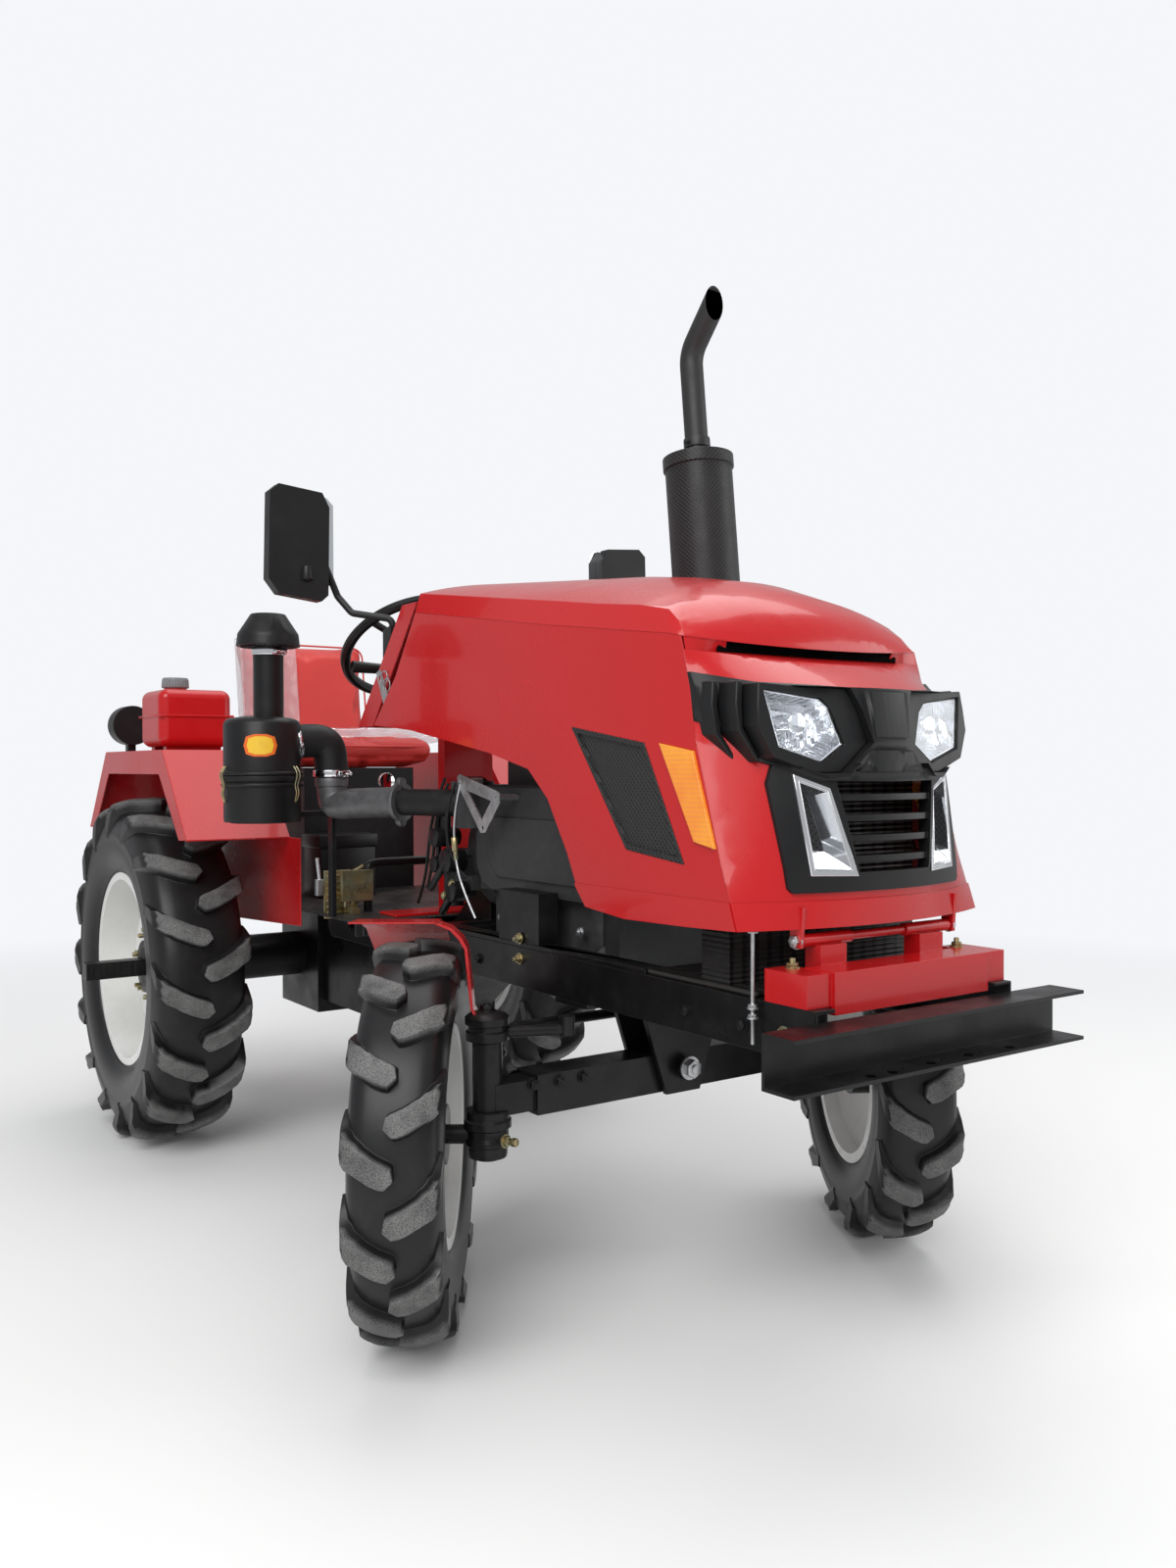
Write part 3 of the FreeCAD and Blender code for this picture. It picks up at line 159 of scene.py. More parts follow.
# %% Material kit
class Finish:
    """One material under construction."""

    def __init__(self, name, colour, roughness, metallic=0.0, edge=0.0012):
        self.material = bpy.data.materials.new(name)
        self.material.use_nodes = True
        self.material.diffuse_color = (*colour, 1)
        self.tree = self.material.node_tree
        self.shader = self.tree.nodes["Principled BSDF"]
        self.colour = (*colour, 1)
        self.shader.inputs["Base Color"].default_value = self.colour
        self.shader.inputs["Roughness"].default_value = roughness
        self.shader.inputs["Metallic"].default_value = metallic
        self.place = self.add("ShaderNodeTexCoord").outputs["Object"]
        self.normal = None
        if edge:
            rounded = self.add("ShaderNodeBevel", samples=4)
            rounded.inputs["Radius"].default_value = edge
            self.normal = rounded.outputs["Normal"]
            self.link(self.normal, self.shader.inputs["Normal"])

    def add(self, kind, **values):
        """New node with some of its settings."""
        node = self.tree.nodes.new(kind)
        for key, value in values.items():
            setattr(node, key, value)
        return node

    def link(self, a, b):
        self.tree.links.new(a, b)

    def set(self, **values):
        """Shader inputs by name, with _ for a space."""
        for key, value in values.items():
            self.shader.inputs[key.replace("_", " ")].default_value = value
        return self

    def noise(self, scale, detail=4.0, rough=0.55, stretch=None):
        """Fractal noise value, 0 to 1; stretch squeezes it along X, Y and Z."""
        node = self.add("ShaderNodeTexNoise")
        node.inputs["Scale"].default_value = scale
        node.inputs["Detail"].default_value = detail
        node.inputs["Roughness"].default_value = rough
        place = self.place
        if stretch:
            mapping = self.add("ShaderNodeMapping")
            mapping.inputs["Scale"].default_value = stretch
            self.link(place, mapping.inputs["Vector"])
            place = mapping.outputs["Vector"]
        self.link(place, node.inputs["Vector"])
        return node.outputs["Fac"]

    def between(self, value, low, high, to_low=0.0, to_high=1.0):
        """The part of a value between two limits, spread over another range."""
        node = self.add("ShaderNodeMapRange")
        node.inputs["From Min"].default_value = low
        node.inputs["From Max"].default_value = high
        node.inputs["To Min"].default_value = to_low
        node.inputs["To Max"].default_value = to_high
        self.link(value, node.inputs["Value"])
        return node.outputs["Result"]

    def sum(self, kind, a, b=0.5):
        """One arithmetic step."""
        node = self.add("ShaderNodeMath", operation=kind)
        for socket, value in zip(node.inputs, (a, b)):
            if isinstance(value, (int, float)):
                socket.default_value = value
            else:
                self.link(value, socket)
        return node.outputs[0]

    def tint(self, mask, colour):
        """Lays a second colour over the first where the mask is 1."""
        node = self.add("ShaderNodeMix", data_type="RGBA")
        source = self.shader.inputs["Base Color"]
        if source.links:
            self.link(source.links[0].from_socket, node.inputs["A"])
        else:
            node.inputs["A"].default_value = self.colour
        node.inputs["B"].default_value = (*colour, 1)
        self.link(mask, node.inputs["Factor"])
        self.link(node.outputs["Result"], source)
        return self

    def rough(self, value, low, high):
        """Roughness that follows a value between two levels."""
        self.link(self.between(value, 0.3, 0.7, low, high), self.shader.inputs["Roughness"])
        return self

    def relief(self, height, depth, strength=1.0):
        """Bump of a real depth in metres."""
        node = self.add("ShaderNodeBump")
        node.inputs["Strength"].default_value = strength
        node.inputs["Distance"].default_value = depth
        self.link(height, node.inputs["Height"])
        if self.normal:
            self.link(self.normal, node.inputs["Normal"])
        self.normal = node.outputs["Normal"]
        self.link(self.normal, self.shader.inputs["Normal"])
        return self

    def axis(self, letter):
        """One coordinate of the place."""
        split = self.add("ShaderNodeSeparateXYZ")
        self.link(self.place, split.inputs[0])
        return split.outputs[letter]

    def facing_up(self):
        """1 where the surface looks up, for dust that settles."""
        split = self.add("ShaderNodeSeparateXYZ")
        self.link(self.add("ShaderNodeNewGeometry").outputs["Normal"], split.inputs[0])
        return self.between(split.outputs["Z"], 0.3, 0.95)

    def dust(self, colour=(0.30, 0.27, 0.23), amount=0.25):
        """A thin film of dust on what looks up, patchy."""
        patch = self.between(self.noise(9.0, 6.0, 0.7), 0.45, 0.75)
        speck = self.between(self.noise(160.0, 3.0), 0.35, 0.7, 0.4, 1.0)
        mask = self.sum("MULTIPLY", self.sum("MULTIPLY", patch, self.facing_up()), speck)
        return self.tint(self.sum("MULTIPLY", mask, amount), colour)


print("material kit ready")

# %% [markdown]
# ## Paint, metal and plastic
# The body is gloss red enamel sprayed over sheet steel: a clear top coat, a faint orange peel and
# a little dust where it looks up. The running gear is black enamel, less glossy and dustier near
# the ground. Plastics get the fine grain that a mould gives them.

# %% Painted finishes
finishes = {}


def keep(name, finish):
    finishes[name] = finish.material
    return finish


def simple(slot, name, colour, roughness, metallic=0.0, edge=0.0012, tint=(), dust=(), rough=(),
           relief=(), **inputs):
    """Finish from one row of values. Tint is a noise, its limits and a second colour, rough and relief
    are a noise and what it drives, and dust is a colour and an amount."""
    made = keep(slot, Finish(name, colour, roughness, metallic, edge).set(**inputs))
    if tint:
        made.tint(made.between(made.noise(*tint[0]), *tint[1]), tint[2])
    if dust:
        made.dust(*dust)
    if rough:
        made.rough(made.noise(*rough[0]), *rough[1])
    if relief:
        made.relief(made.noise(*relief[0]), *relief[1])


simple("body_red", "red_enamel", (0.50, 0.0075, 0.0095), 0.27,
       tint=((2.4, 3.0), (0.35, 0.75, 0.0, 0.35), (0.41, 0.005, 0.007)), dust=((0.40, 0.14, 0.11), 0.10),
       rough=((6.0, 6.0), (0.2, 0.33)), relief=((420.0, 2.0), (0.00006, 0.5)),
       Coat_Weight=0.35, Coat_Roughness=0.06, Specular_IOR_Level=0.3)
simple("chassis_black", "black_enamel", (0.0055, 0.0055, 0.0062), 0.32,
       tint=((30.0, 8.0, 0.7), (0.5, 0.8, 0.0, 0.35), (0.035, 0.033, 0.031)), dust=((0.20, 0.18, 0.16), 0.2),
       rough=((14.0, 6.0), (0.26, 0.5)), relief=((210.0, 3.0), (0.00012, 0.5)),
       Coat_Weight=0.08, Coat_Roughness=0.2, Specular_IOR_Level=0.25)
simple("rim_white", "white_enamel", (0.78, 0.78, 0.76), 0.3,
       tint=((11.0, 8.0, 0.7), (0.5, 0.85, 0.0, 0.4), (0.52, 0.49, 0.44)),
       rough=((9.0, 5.0), (0.25, 0.45)), relief=((300.0, 2.0), (0.00008, 0.5)),
       Coat_Weight=0.3, Coat_Roughness=0.12)
simple("engine_grey", "engine_paint", (0.038, 0.039, 0.041), 0.46, edge=0.002,
       tint=((22.0, 8.0, 0.7), (0.48, 0.8, 0.0, 0.5), (0.072, 0.071, 0.070)), dust=((0.26, 0.24, 0.21), 0.25),
       rough=((16.0, 6.0), (0.36, 0.6)), relief=((90.0, 5.0, 0.6), (0.0007, 0.6)), Specular_IOR_Level=0.25)
simple("trim_black", "moulded_black", (0.0078, 0.0080, 0.0086), 0.38,
       tint=((18.0, 6.0), (0.5, 0.8, 0.0, 0.3), (0.026, 0.026, 0.027)), dust=((0.2, 0.19, 0.18), 0.08),
       rough=((12.0, 4.0), (0.3, 0.46)), relief=((900.0, 2.0), (0.00008, 0.6)), Specular_IOR_Level=0.3)
simple("plastic_grey", "grey_plastic", (0.20, 0.21, 0.22), 0.42,
       tint=((50.0, 4.0), (0.4, 0.8, 0.0, 0.4), (0.13, 0.13, 0.14)), rough=((60.0, 3.0), (0.36, 0.5)))
simple("hose_rubber", "hose_rubber", (0.0075, 0.0075, 0.008), 0.5, dust=((0.2, 0.19, 0.18), 0.22),
       rough=((25.0, 5.0), (0.4, 0.62)), relief=((500.0, 3.0), (0.00015, 0.5)), Specular_IOR_Level=0.3)
print("painted finishes", len(finishes))

# %% [markdown]
# ## Bare metal
# Yellow zinc plating on the pedals and fittings shifts between gold and green, which a low noise
# does well. The grille tubs are bright plated plastic, so they are a clean mirror with hardly any
# relief. Cast aluminium parts are dull and a little mottled.

# %% Bare metal finishes
simple("zinc_yellow", "yellow_zinc", (0.42, 0.33, 0.16), 0.34, 0.9,
       tint=((40.0, 4.0), (0.4, 0.7), (0.34, 0.36, 0.25)), rough=((60.0, 4.0), (0.25, 0.45)),
       relief=((500.0, 3.0), (0.00008, 0.5)))
simple("zinc_grey", "grey_zinc", (0.55, 0.56, 0.57), 0.34, 0.9,
       tint=((45.0, 5.0), (0.4, 0.7), (0.38, 0.39, 0.40)), rough=((60.0, 4.0), (0.26, 0.46)),
       relief=((500.0, 3.0), (0.00008, 0.5)))
simple("trim_chrome", "bright_plating", (0.80, 0.81, 0.83), 0.07, 1.0, edge=0.0008,
       rough=((30.0, 3.0), (0.04, 0.11)), relief=((60.0, 2.0), (0.00004, 0.5)))
simple("cast_alloy", "cast_alloy", (0.13, 0.13, 0.135), 0.42, 0.6,
       tint=((35.0, 7.0, 0.7), (0.45, 0.75), (0.075, 0.075, 0.075)), rough=((50.0, 5.0), (0.34, 0.6)),
       relief=((260.0, 4.0), (0.0003, 0.6)))
simple("exhaust_black", "exhaust_black", (0.017, 0.0172, 0.018), 0.5,
       tint=((20.0, 7.0, 0.7), (0.5, 0.8, 0.0, 0.4), (0.045, 0.043, 0.042)),
       rough=((18.0, 5.0), (0.42, 0.62)), relief=((350.0, 3.0), (0.00015, 0.6)))
print("bare metals and exhaust black")

# %% [markdown]
# ## The exhaust and its perforated guard
# The muffler is wrapped in a thin black guard sheet pressed with a fine diagonal net. The pattern
# follows the drum, so its place is first turned upright along the leaning axis, and then the
# angle round the drum times its radius gives a distance along the sheet.

# %% Exhaust finishes
def around(finish, centre, lean, radius):
    """Distance round a drum and height along it, the drum's axis leaning back by an angle."""
    mapping = finish.add("ShaderNodeMapping", vector_type="POINT")
    mapping.inputs["Rotation"].default_value = (lean, 0, 0)
    mapping.inputs["Location"].default_value = Matrix.Rotation(lean, 3, "X") @ -Vector(centre)
    finish.link(finish.place, mapping.inputs["Vector"])
    split = finish.add("ShaderNodeSeparateXYZ")
    finish.link(mapping.outputs["Vector"], split.inputs[0])
    angle = finish.sum("ARCTAN2", split.outputs["Y"], split.outputs["X"])
    return finish.sum("MULTIPLY", angle, radius), split.outputs["Z"]


def diagonal_net(finish, along, height, pitch):
    """Value that is high on the wires of a diagonal net and low in its holes."""
    turns = 2 * math.pi / pitch
    waves = []
    for sign in (1, -1):
        slant = finish.sum("ADD", along, finish.sum("MULTIPLY", height, sign))
        waves.append(finish.sum("COSINE", finish.sum("MULTIPLY", slant, turns)))
    return finish.sum("MAXIMUM", waves[0], waves[1])


muffler_radius = 0.069
muffler_foot = (0.325, 0.263 - 0.590, 1.130)
muffler_lean = math.atan(0.1016)
drum_turns = 48
guard = keep("muffler_guard", Finish("muffler_guard", (0.018, 0.018, 0.019), 0.4))
guard_along, guard_height = around(guard, muffler_foot, muffler_lean, muffler_radius)
guard_net = diagonal_net(guard, guard_along, guard_height, 2 * math.pi * muffler_radius / drum_turns)
# The guard's holes are darkened with painted shade.
guard.tint(guard.between(guard_net, 0.2, 0.5, 1.0, 0.0), (0.002, 0.002, 0.002))
guard.rough(guard.noise(18.0, 5.0), 0.32, 0.48)
guard.relief(guard.between(guard_net, 0.0, 0.9), 0.0012, 0.9)
print("exhaust finishes ready")

# %% [markdown]
# ## Rubber scuffed on its bars
# The tyres are new: deep black and slightly glossy on their sides, with pale grey scuffed tops on
# the bars. The modelling code paints how far up a bar each vertex is into an attribute called
# "scuff", and the finish turns the rubber grey and rough there, broken up by fine specks.

# %% Tyre rubber
tread = keep("tyre_rubber", Finish("tyre_rubber", (0.0085, 0.0085, 0.0092), 0.4, edge=0.002))
tread.set(Specular_IOR_Level=0.35)
scuff = tread.add("ShaderNodeAttribute", attribute_name="scuff").outputs["Fac"]
specks = tread.between(tread.noise(620.0, 2.0), 0.36, 0.62, 0.25, 1.0)
patches = tread.between(tread.noise(26.0, 5.0), 0.3, 0.6, 0.45, 1.0)
worn = tread.sum("MULTIPLY", tread.sum("MULTIPLY", tread.between(scuff, 0.55, 0.95), specks), patches)
tread.tint(tread.between(tread.noise(40.0, 7.0, 0.7), 0.5, 0.85, 0.0, 0.3), (0.04, 0.037, 0.034))
tread.tint(worn, (0.20, 0.20, 0.195))
tread.link(tread.between(worn, 0.0, 1.0, 0.36, 0.8), tread.shader.inputs["Roughness"])
tread.relief(tread.noise(700.0, 3.0), 0.0002, 0.5)
print("tyre rubber ready")

# %% [markdown]
# ## Seat vinyl, lamp glass and mirrors
# Vinyl has a leather-like grain of small closed cells, which Voronoi distances give. Lamp glass is
# clear with fine upright ribs on its inside, and the amber lens is ribbed plastic, coloured
# through. Mirror glass is a plain bright metal.

# %% Vinyl, glass and lenses
vinyl = keep("seat_vinyl", Finish("seat_vinyl", (0.58, 0.035, 0.028), 0.42, edge=0.0))
cells = vinyl.add("ShaderNodeTexVoronoi", feature="DISTANCE_TO_EDGE")
cells.inputs["Scale"].default_value = 420.0
vinyl.link(vinyl.place, cells.inputs["Vector"])
vinyl.tint(vinyl.between(vinyl.noise(7.0, 4.0), 0.4, 0.75, 0.0, 0.4), (0.46, 0.024, 0.02))
vinyl.rough(vinyl.noise(30.0, 4.0), 0.36, 0.5)
vinyl.relief(vinyl.between(cells.outputs["Distance"], 0.0, 0.25), 0.00035, 0.6)

glass = keep("lens_clear", Finish("clear_lens", (0.96, 0.98, 1.0), 0.03, edge=0.0))
glass.set(Transmission_Weight=1.0, IOR=1.46)
glass_ribs = glass.sum("SINE", glass.sum("MULTIPLY", glass.axis("X"), 2 * math.pi / 0.006))
glass.relief(glass_ribs, 0.0004, 0.08)

reflector = keep("reflector", Finish("lamp_reflector", (0.83, 0.84, 0.86), 0.08, 1.0, edge=0.0))
flutes = reflector.sum("SINE", reflector.sum("MULTIPLY", reflector.axis("X"), 2 * math.pi / 0.011))
reflector.rough(reflector.noise(30.0, 3.0), 0.05, 0.14)
reflector.relief(flutes, 0.0012, 0.6)

amber = keep("lens_amber", Finish("amber_lens", (0.86, 0.24, 0.012), 0.2))
amber.set(Coat_Weight=0.6, Coat_Roughness=0.05)
amber.tint(amber.between(amber.noise(14.0, 3.0), 0.35, 0.7, 0.0, 0.8), (0.93, 0.38, 0.02))
amber_ribs = amber.sum("SINE", amber.sum("MULTIPLY", amber.axis("Z"), 2 * math.pi / 0.0065))
amber.relief(amber_ribs, 0.0008, 0.35)

for name, colour in (("label_orange", (0.72, 0.13, 0.012)), ("label_yellow", (0.80, 0.50, 0.03))):
    simple(name, name, colour, 0.35, edge=0.0, tint=((60.0, 4.0), (0.5, 0.8, 0.0, 0.4), (0.55, 0.22, 0.03)),
           rough=((40.0, 3.0), (0.3, 0.45)))
simple("mirror_glass", "mirror_glass", (0.78, 0.8, 0.82), 0.02, 1.0, edge=0.0,
       rough=((8.0, 2.0), (0.015, 0.04)))

simple("film", "clear_film", (0.95, 0.97, 1.0), 0.12, edge=0.0, relief=((34.0, 5.0, 0.6), (0.003, 0.7)),
       Transmission_Weight=0.75, IOR=1.3, Alpha=0.55, Coat_Weight=0.6, Coat_Roughness=0.05)
print("finishes in all", len(finishes))

# %% [markdown]
# ## Fine nets
# The side vents are closed by a pressed net whose holes are only millimetres wide. Modelling each
# hole would cost a million faces for something the eye reads as a texture, so a pattern in the
# panel's own plane sinks the holes and fills them with painted shade instead. The radiator behind
# the grille is done the same way, with thin pale fins.

# %% Net and fin finishes
def netted(slot, colour, roughness, across, pitch, limits, painted_hole_shade, rough, depth, strength):
    """Finish with a diagonal net in the plane of one coordinate and Z, its holes filled with painted shade.
    """
    made = keep(slot, Finish(slot, colour, roughness, edge=0.0))
    wires = diagonal_net(made, made.axis(across), made.axis("Z"), pitch)
    # The net's holes are darkened with painted shade.
    made.tint(made.between(wires, *limits, 1.0, 0.0), (painted_hole_shade, painted_hole_shade, painted_hole_shade))
    made.rough(made.noise(30.0, 3.0), *rough)
    made.relief(made.between(wires, 0.0, 0.8), depth, strength)


netted("vent_net", (0.02, 0.02, 0.021), 0.45, "Y", 0.0088, (0.1, 0.5), 0.001, (0.4, 0.55), 0.001, 0.8)
netted("grille_net", (0.016, 0.016, 0.017), 0.4, "X", 0.0095, (0.2, 0.55), 0.0008, (0.36, 0.5), 0.0015, 0.9)
# Near-black matte finish that is painted shade: it darkens the sheet behind the slot under the hood's lip and
# the discs in the flange's bolt holes.
simple("painted_shade_black", "painted_shade_black", (0.0012, 0.0012, 0.0013), 0.8, edge=0.0,
       rough=((20.0, 3.0), (0.7, 0.9)), Specular_IOR_Level=0.05)

fins = keep("radiator_fins", Finish("radiator_fins", (0.035, 0.033, 0.031), 0.5, 0.2))
fin_wave = fins.sum("SINE", fins.sum("MULTIPLY", fins.axis("Z"), 2 * math.pi / 0.0075))
tube_wave = fins.sum("SINE", fins.sum("MULTIPLY", fins.axis("X"), 2 * math.pi / 0.024))
fins.tint(fins.between(tube_wave, 0.2, 0.7), (0.008, 0.008, 0.008))
fins.rough(fins.noise(40.0, 4.0), 0.35, 0.6)
fins.relief(fin_wave, 0.0015, 0.8)

tread_plate = keep("floor_plate", Finish("floor_plate", (0.0115, 0.0115, 0.012), 0.34))
plate_value = diagonal_net(tread_plate, tread_plate.axis("X"), tread_plate.axis("Y"), 0.05)
tread_plate.dust((0.25, 0.22, 0.19), 0.4)
tread_plate.rough(tread_plate.noise(12.0, 5.0), 0.3, 0.5)
tread_plate.relief(tread_plate.between(plate_value, 0.86, 0.97), 0.0018, 0.9)
print("nets and fins ready")

# %% [markdown]
# ## Dress the CAD nodes
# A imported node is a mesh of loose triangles. Its object takes a short stack of modifiers: Weld
# joins the triangles, a planar Decimate turns each flat side back into one face, Bevel rounds the
# sharp edges and Weighted Normal keeps the flats flat. Sheets with many openings keep their triangles
# and are only split at sharp edges. The node's own mesh stays as it is.

# %% Modifiers and materials for the nodes
HOLED = ("hood_side_left", "hood_side_right", "hood_front", "lamp_mask")      # sheets with openings


EDGE = 0.0012           # radius of a node's rounded edges


def dress(name, finish):
    """Material and edge modifiers for one node of the frame."""
    node = nodes[name]
    node.data.materials.clear()
    node.data.materials.append(finishes[finish])
    node.data.polygons.foreach_set("use_smooth", [True] * len(node.data.polygons))
    weld = node.modifiers.new("weld", "WELD")
    weld.merge_threshold = 0.00002
    if name not in HOLED:
        flat = node.modifiers.new("flat_sides", "DECIMATE")
        flat.decimate_type = "DISSOLVE"
        flat.angle_limit = math.radians(0.6)
        rounded = node.modifiers.new("rounded_edges", "BEVEL")
        rounded.width = EDGE
        rounded.segments = 2
        rounded.limit_method = "ANGLE"
        rounded.angle_limit = math.radians(32)
        rounded.harden_normals = False
    else:
        sharp = node.modifiers.new("sharp_edges", "EDGE_SPLIT")
        sharp.split_angle = math.radians(28)
    weighted = node.modifiers.new("weighted_normals", "WEIGHTED_NORMAL")
    weighted.weight = 80
    weighted.keep_sharp = True


dressed = {m["node"]: m["material_slot"] for m in frame["record"]["subparts"]}
# The slot liner is a sheet of painted shade, a near-black plate standing for the shadow deep in the slot
# under the hood's lip.
special = {"muffler": "muffler_guard", "side_vent_left": "vent_net", "side_vent_right": "vent_net",
           "floor": "floor_plate", "radiator": "radiator_fins", "slot_liner": "painted_shade_black",
           "engine_sump": "cast_alloy", "steering_column": "trim_black"}
for node_name in sorted(nodes):
    dress(node_name, special.get(node_name, dressed[node_name]))
print("nodes dressed", len(nodes))

# %% [markdown]
# ## Tools for modelled pieces
# Each new piece starts as a bmesh shape made by an operator, is moved to its place in the mesh
# itself, and then becomes an object that sits at the origin and rides on a body. The helpers below
# do that last step, and make the shapes that come back again and again: bars bent along points,
# hexagon bolts and turned parts.

# %% Helpers for modelled pieces
MIDDLE = 0.590          # the frame's y is the length from the front axle less this
SIDES = (("left", 1), ("right", -1))


def new_object(name, bm):
    """Puts a bmesh into the scene as an object, and frees it."""
    mesh = bpy.data.meshes.new(name)
    bm.to_mesh(mesh)
    bm.free()
    made = bpy.data.objects.new(name, mesh)
    bpy.context.scene.collection.objects.link(made)
    return made


def finish_piece(bm, name, finish, body="chassis", angle=30, bevel=0.0):
    """Turns a bmesh into a finished piece that rides on a body."""
    bmesh.ops.remove_doubles(bm, verts=bm.verts, dist=0.00001)
    bmesh.ops.recalc_face_normals(bm, faces=bm.faces)
    piece = new_object(name, bm)
    mesh = piece.data
    mesh.polygons.foreach_set("use_smooth", [True] * len(mesh.polygons))
    mesh.set_sharp_from_angle(angle=math.radians(angle))
    mesh.materials.append(finishes[finish])
    if bevel:
        rounded = piece.modifiers.new("rounded_edges", "BEVEL")
        rounded.width = bevel
        rounded.segments = 2
        rounded.limit_method = "ANGLE"
        rounded.angle_limit = math.radians(32)
    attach(piece, body)
    return piece


def at_axle(x, y, z):
    """Point of the frame from a length measured from the front axle, all in metres."""
    return Vector((x, y - MIDDLE, z))


def add_block(bm, low, high, bevel=0.0, segments=2):
    """Box between two corners, its edges rounded."""
    low, high = Vector(low), Vector(high)
    made = bmesh.ops.create_cube(bm, size=1.0)["verts"]
    bmesh.ops.scale(bm, vec=high - low, verts=made)
    bmesh.ops.translate(bm, vec=(low + high) / 2, verts=made)
    if bevel:
        edges = list({e for v in made for e in v.link_edges})
        done = bmesh.ops.bevel(bm, geom=edges, offset=bevel, segments=segments, affect="EDGES",
                               profile=0.5, material=-1)
        made = done["verts"]
    return made


def add_drum(bm, start, end, radius, end_radius=None, sides=32, bevel=0.0):
    """Round bar or cone from start to end."""
    start, end = Vector(start), Vector(end)
    made = bmesh.ops.create_cone(bm, cap_ends=True, cap_tris=False, segments=sides, radius1=radius,
                                 radius2=radius if end_radius is None else end_radius,
                                 depth=(end - start).length)["verts"]
    if bevel:
        rims = list({e for v in made for e in v.link_edges
                     if abs(e.verts[0].co.z - e.verts[1].co.z) < 1e-7})
        others = set(v for v in bm.verts if v not in set(made))
        bmesh.ops.bevel(bm, geom=rims, offset=bevel, segments=2, affect="EDGES", profile=0.5, material=-1)
        made = [v for v in bm.verts if v not in others]
    turn = Vector((0, 0, 1)).rotation_difference(end - start).to_matrix()
    bmesh.ops.rotate(bm, verts=made, cent=(0, 0, 0), matrix=turn)
    bmesh.ops.translate(bm, vec=(start + end) / 2, verts=made)
    return made


def add_bolt(bm, at, out, size=0.008, washer=True):
    """Hexagon bolt head on a washer, looking out along a direction."""
    at, out = Vector(at), Vector(out).normalized()
    if washer:
        add_drum(bm, at - out * 0.0008, at + out * size * 0.22, size * 1.25, sides=24)
    head = at + out * size * 0.2
    add_drum(bm, head, head + out * size * 0.72, size, sides=6, bevel=size * 0.1)
    add_drum(bm, head + out * size * 0.5, head + out * size * 0.95, size * 0.5, sides=14, bevel=size * 0.08)


def add_turned(bm, start, end, steps, sides=40):
    """Turned part: steps are (share of the way from start to end, radius)."""
    start, end = Vector(start), Vector(end)
    length = (end - start).length
    chain = [bm.verts.new((r, 0, t * length)) for t, r in steps]
    edges = [bm.edges.new(pair) for pair in zip(chain[:-1], chain[1:])]
    old = set(bm.verts) - set(chain)
    bmesh.ops.spin(bm, geom=chain + edges, cent=(0, 0, 0), axis=(0, 0, 1), angle=2 * math.pi,
                   steps=sides, use_merge=True, use_duplicate=False)
    made = [v for v in bm.verts if v not in old]
    bmesh.ops.remove_doubles(bm, verts=made, dist=0.00001)
    made = [v for v in bm.verts if v not in old]
    turn = Vector((0, 0, 1)).rotation_difference(end - start).to_matrix()
    bmesh.ops.rotate(bm, verts=made, cent=(0, 0, 0), matrix=turn)
    bmesh.ops.translate(bm, vec=start, verts=made)
    return made


def bent_bar(name, points, radius, finish, body="chassis", sides=6, smooth=3):
    """Pipe, hose or wire along a smooth line through or near the points."""
    curve = bpy.data.curves.new(name + "_line", "CURVE")
    curve.dimensions = "3D"
    line = curve.splines.new("NURBS")
    line.points.add(len(points) - 1)
    for point, place in zip(line.points, points):
        point.co = (*place, 1)
    line.order_u = smooth
    line.use_endpoint_u = True
    line.resolution_u = 8
    curve.bevel_depth = radius
    curve.bevel_resolution = sides
    curve.use_fill_caps = True
    helper = bpy.data.objects.new(name + "_line", curve)
    bpy.context.scene.collection.objects.link(helper)
    mesh = bpy.data.meshes.new_from_object(helper.evaluated_get(bpy.context.evaluated_depsgraph_get()))
    bpy.data.objects.remove(helper)
    bm = bmesh.new()
    bm.from_mesh(mesh)
    bpy.data.meshes.remove(mesh)
    return finish_piece(bm, name, finish, body, angle=50)


print("helpers ready")

# %% [markdown]
# ## Tyres
# A farm tyre is a smooth casing with tall rubber bars. The casing is one section spun round the
# axle. One bar is shaped flat on the table: a strip pulled along a bent line, raised, given sloping
# sides and rounded at its top edges. Then it is bent round the tyre and repeated, each side's bars
# lying half a step behind the other side's. The bars lead at the middle when the machine rolls
# forward.

# %% Tyre shape
LUG_SHARE = 0.065       # a bar's height as a share of the tyre's radius
BAR_SINK = 0.0007       # bars stay this far inside the CAD tyre, so that they end above the floor
CASING = ((0.62, -0.04), (0.69, -0.035), (0.735, 0.02), (0.745, 0.065), (0.775, 0.075), (0.785, 0.10),
          (0.84, 0.14), (0.91, 0.24), (0.955, 0.36), (0.968, 0.47), (0.962, 0.58), (0.975, 0.60),
          (0.965, 0.63), (0.945, 0.70), (0.905, 0.80), (0.83, 0.90), (0.70, 0.955), (0.5, 0.985),
          (0.25, 0.997), (0.0, 1.0))


def casing_line(half, rim_radius, wall):
    """Outer section of the casing from its middle to its shoulder, as points (across, radius)."""
    return [Vector((x * half, rim_radius + share * wall)) for x, share in reversed(CASING) if share > 0.62]


def along_line(line, distance):
    """Point and outward direction at a distance along the casing's section."""
    if distance <= 0:
        return Vector((distance, line[0].y)), Vector((0, 1))
    for a, b in zip(line[:-1], line[1:]):
        step = b - a
        if distance <= step.length or b is line[-1]:
            way = step.normalized()
            return a + way * distance, Vector((-way.y, way.x))
        distance -= step.length


def bar_width(u):
    """Width of a bar along its length: a round club at the middle of the tread, narrow at the shoulder."""
    club = math.sqrt(max(0.0, 1 - ((0.13 - u) / 0.13) ** 2)) if u < 0.13 else 1.0
    return max(0.05, club) * (1.0 if u < 0.3 else 1.0 - 0.30 * (u - 0.3) / 0.7)


